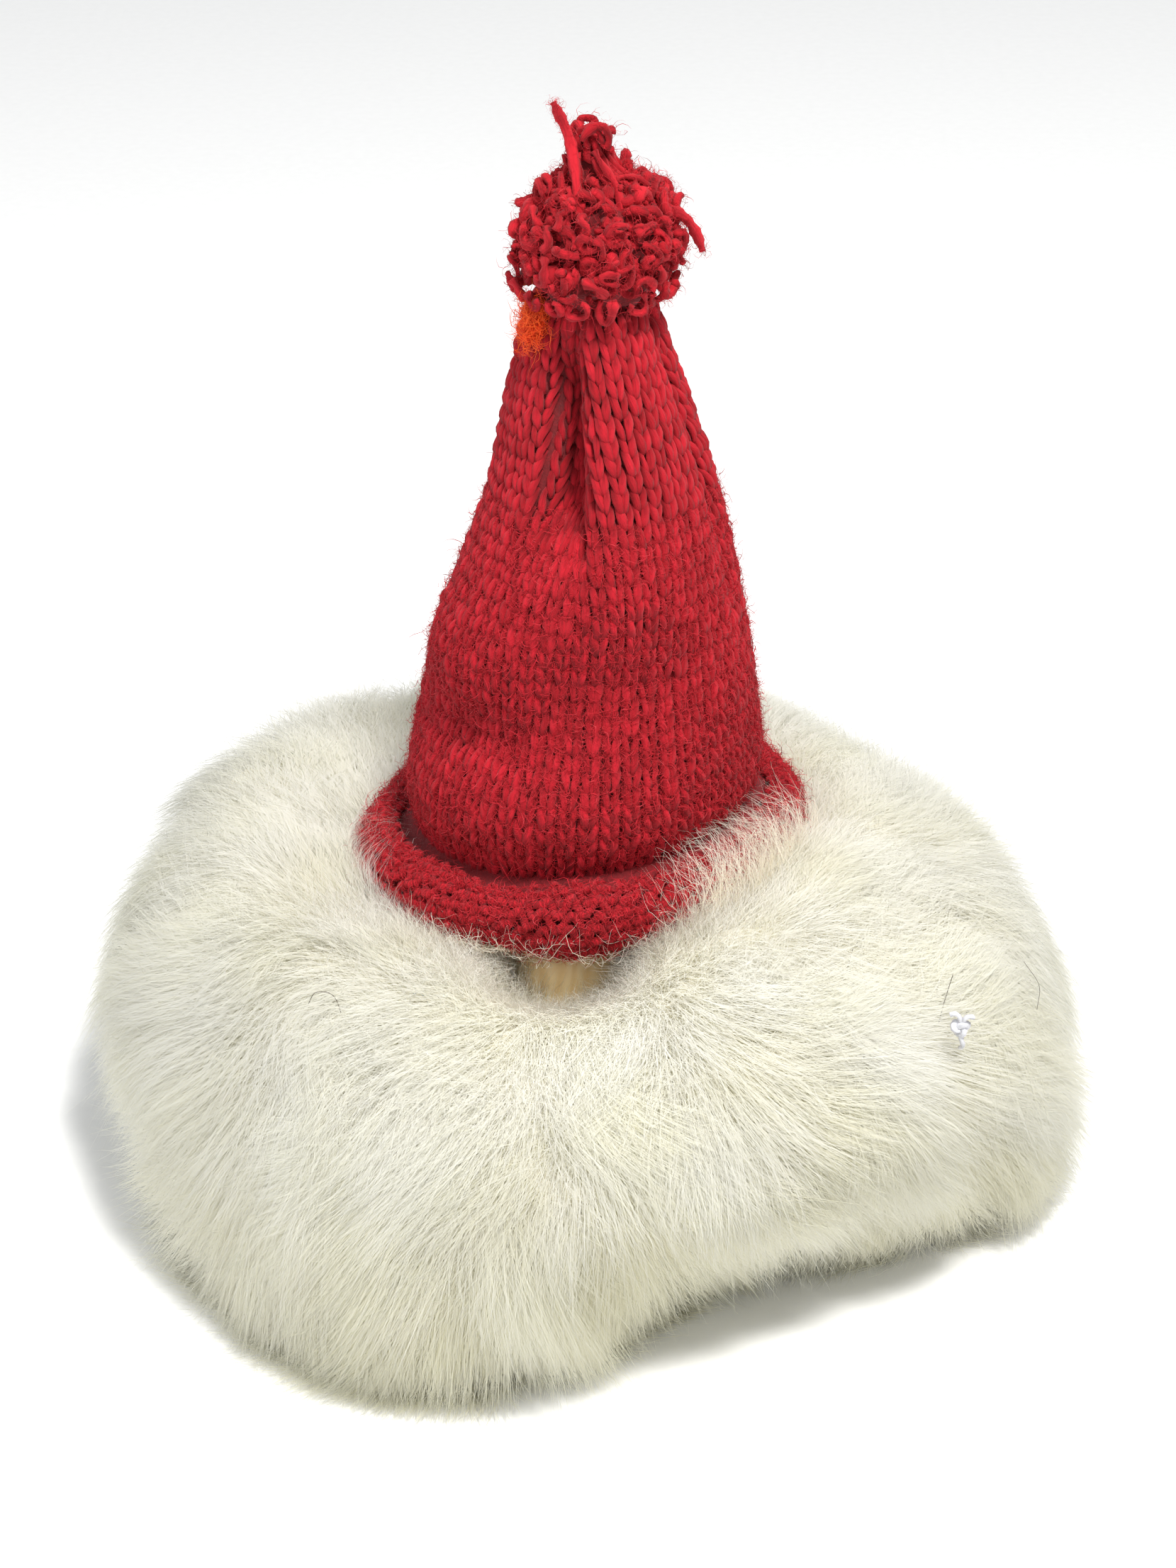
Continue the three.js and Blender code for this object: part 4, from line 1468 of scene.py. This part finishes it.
def add_cap_filling():
    """Loose filling in the upper cap, a little inside its cloth."""
    low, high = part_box("cap_stuffing")
    heights = np.linspace(low.z / MM, high.z / MM, 16) - BRIM_HEIGHT
    columns = 64
    turn = np.arange(columns) * TURN / columns
    rings = [cap_point(turn, np.full(columns, h), -5.6) for h in heights]
    rings = [ring + 0.4 * ripple(ring, 7, 73)[:, None] * unit(ring - ring.mean(0)) for ring in rings]
    plug = make_mesh("cap_filling", np.concatenate(rings), tube_faces(len(rings), columns))
    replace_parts(dress(plug, FILLING, "cap"), "cap_stuffing")


def add_inside():
    """The stuffed figure and what fills it and the cap."""
    add_padded("body_sack_cotton", SACK_SECTION, COTTON, sack_folds, "body_sack")
    add_padded("weight_bag_cotton", BAG_SECTION, COTTON, lumps(0.3, 9, 71), "weight_bag")
    add_padded("body_filling", FILLING_SECTION, FILLING, lumps(0.4, 8, 72), "body_stuffing")
    add_cap_filling()


# Inside of the pelt, where its skin lies on the cotton: radius and height from the foot up.
SKIN_SECTION = [
    (46.6, 1.8),
    (46.7, 5),
    (48.2, 12),
    (48.5, 20),
    (47.2, 28.8),
    (40.6, 37.2),
    (28, 41.7),
    (16, 43.2),
]
SKIN_THICK = 1.0


def add_skins():
    """The leather under the wool, one sheet to each pelt piece."""
    hide = cloth_material("pelt_hide", (0.74, 0.66, 0.5), (0.84, 0.78, 0.64), 500.0, 0.0002, 0.75)
    inner = smooth_rows(SKIN_SECTION, 36)
    along = unit(np.gradient(inner, axis=0))
    outer = inner + np.stack([along[:, 1], -along[:, 0]], -1) * SKIN_THICK
    section = np.concatenate([inner, outer[::-1]])
    for name, (low, high) in PANELS.items():
        columns = round((high - low) / 0.06)
        turn = np.linspace(low + 0.006, high - 0.006, columns)
        radius, height = section[:, :1], section[:, 1:] + 0 * turn
        points = np.stack([radius * np.cos(turn), radius * np.sin(turn), height], -1).reshape(-1, 3)
        piece = make_mesh(name + "_skin", points, panel_faces(len(section), columns))
        skin = dress(piece, hide, "figure")


def add_neck_tie(material):
    """Four turns of thread round the neck, tied in front."""
    turn = np.linspace(0, 4 * TURN, 4 * 48)
    radius = NECK_RADIUS + 1.0 + 0.12 * np.sin(17 * turn)
    height = NECK_TIE_HEIGHT - 1.2 + 0.62 * turn / TURN
    path = np.stack([radius * np.cos(turn), radius * np.sin(turn), height], -1)
    made = rods(path[None], np.full((1, len(turn)), 0.34), 8, ply=0.12, twist=30.0, seed=6)
    piece = dress(make_mesh("neck_tie_thread", *made), material, "figure")
    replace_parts(piece, "neck_tie")


def add_felt_disc(radius, top):
    """The felt disc under the figure."""
    felt = cloth_material("white_felt", (0.72, 0.68, 0.58), (0.86, 0.83, 0.74), 700.0, 0.0005)
    lower = [(share * radius, 0) for share in (0, 0.25, 0.5, 0.75, 0.9, 0.96, 0.985)]
    upper = [(reach, top) for reach, _ in reversed(lower)]
    rows = [*lower, (radius, top * 0.5), *upper]
    disc = revolved("base_felt_disc", rows, felt, lowest=0.0)
    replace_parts(disc, "base_felt")


def add_whip_stitches(radius, top, material):
    """Slanting stitches that hold the felt disc to the pelt."""
    count, steps = 44, 9
    turn = np.arange(count) * TURN / count
    share = np.linspace(0, 1, steps)
    arc = TURN * (0.02 + 0.46 * share)
    reach = radius - 1.6 + 2.1 * np.sin(arc)
    turns = turn[:, None] + 0.05 * share
    level = top + 0.25 - 0.9 * (1 - np.cos(arc)) * 0.5
    height = np.broadcast_to(level + 0.3, turns.shape)
    path = np.stack([reach * np.cos(turns), reach * np.sin(turns), height], -1)
    made = rods(path, np.full((count, steps), 0.26), 6, seed=9)
    dress(make_mesh("base_whip_stitches", *made), material, "figure")


def add_base(material):
    """The felt disc, whip-stitched to the pelt."""
    _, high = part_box("base_felt")
    add_felt_disc(high.x / MM, high.z / MM)
    add_whip_stitches(high.x / MM, high.z / MM, material)


def finish_hidden_nodes():
    """Materials for the CAD pieces that stay as they are, inside the figure."""
    card = cloth_material("brown_card", (0.36, 0.25, 0.13), (0.5, 0.37, 0.21), 600.0, 0.0002, 0.85)
    pellets = cloth_material("pellets", (0.6, 0.58, 0.52), (0.8, 0.78, 0.72), 420.0, 0.0012, 0.5)
    glue = cloth_material("dried_glue", (0.72, 0.62, 0.42), (0.86, 0.78, 0.58), 200.0, 0.0003, 0.35)
    thread = cloth_material("tie_thread", (0.75, 0.75, 0.78), (0.9, 0.9, 0.94), 1500.0, 0.0002)
    kept = {"base_card": card, "weight_pellets": pellets, "nose_glue": glue, "weight_bag_tie": thread}
    for name, material in kept.items():
        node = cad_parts[name]
        node.data.materials.clear()
        node.data.materials.append(material)


# ---- light, floor and camera ----


def add_floor():
    """A plain pale floor."""
    size = 3000.0
    corners = np.array([(-size, -size, 0), (size, -size, 0), (size, size, 0), (-size, size, 0)], float)
    floor = make_mesh("floor", corners, [np.array([[0, 1, 2, 3]])])
    material, tree, shader = new_material("floor_paint", Roughness=0.9)
    speckle = noise(tree, 300.0)
    colour = ramp(tree, speckle, [(0.3, (0.92, 0.92, 0.92)), (0.7, (0.94, 0.94, 0.94))])
    tree.links.new(colour, shader.inputs["Base Color"])
    floor.data.materials.append(material)


def add_area_light(name, place, target, size, power, colour):
    """A soft square light that looks at a target."""
    light = bpy.data.lights.new(name, "AREA")
    light.shape = "SQUARE"
    light.size = size
    light.energy = power
    light.color = colour
    lamp = bpy.data.objects.new(name, light)
    lamp.location = place
    lamp.rotation_euler = (Vector(target) - Vector(place)).to_track_quat("-Z", "Y").to_euler()
    bpy.context.scene.collection.objects.link(lamp)


def add_lights():
    """Soft studio light: a key from the upper front right, a weak fill and a pale surround."""
    world = bpy.data.worlds.new("surround")
    world.use_nodes = True
    world.node_tree.nodes["Background"].inputs["Color"].default_value = (0.96, 0.98, 1.0, 1)
    world.node_tree.nodes["Background"].inputs["Strength"].default_value = 0.56
    bpy.context.scene.world = world
    target = (0.0, 0.0, 0.08)
    add_area_light("key", (0.24, -0.4, 1.15), target, 0.2, 15.5, (1.0, 0.985, 0.95))
    add_area_light("fill", (-0.8, -0.5, 0.6), target, 0.8, 2.5, (0.95, 0.98, 1.0))


def add_camera():
    """The view from above the front: 30 degrees down on the middle of the brim, from 600 mm."""
    down = math.radians(30)
    forward = Vector((0, math.cos(down), -math.sin(down)))
    up = Vector((0, math.sin(down), math.cos(down)))
    right = Vector((1, 0, 0))
    camera = bpy.data.objects.new("camera", bpy.data.cameras.new("camera"))
    camera.data.lens = 76.2
    camera.data.clip_start = 0.01
    place = Vector((0, 0, BRIM_HEIGHT)) - forward * 600 + right * 1.27 + up * 7.05
    axes = Matrix((right, up, -forward)).transposed()
    camera.matrix_world = Matrix.Translation(place * MM) @ axes.to_4x4()
    bpy.context.scene.collection.objects.link(camera)
    bpy.context.scene.camera = camera
    bpy.context.scene.view_settings.view_transform = "Standard"


add_camera()
add_floor()
add_lights()
CAP_CLOTH, CAP_KNIT = add_cap()
add_under_wool()
add_hair()
add_nose()
add_brim_wisps()
add_nose_wisps()
add_stray_hairs()
WHITE_THREAD = thread_material()
add_thread_knot(WHITE_THREAD)
add_inside()
add_skins()
add_neck_tie(WHITE_THREAD)
add_base(WHITE_THREAD)
finish_hidden_nodes()
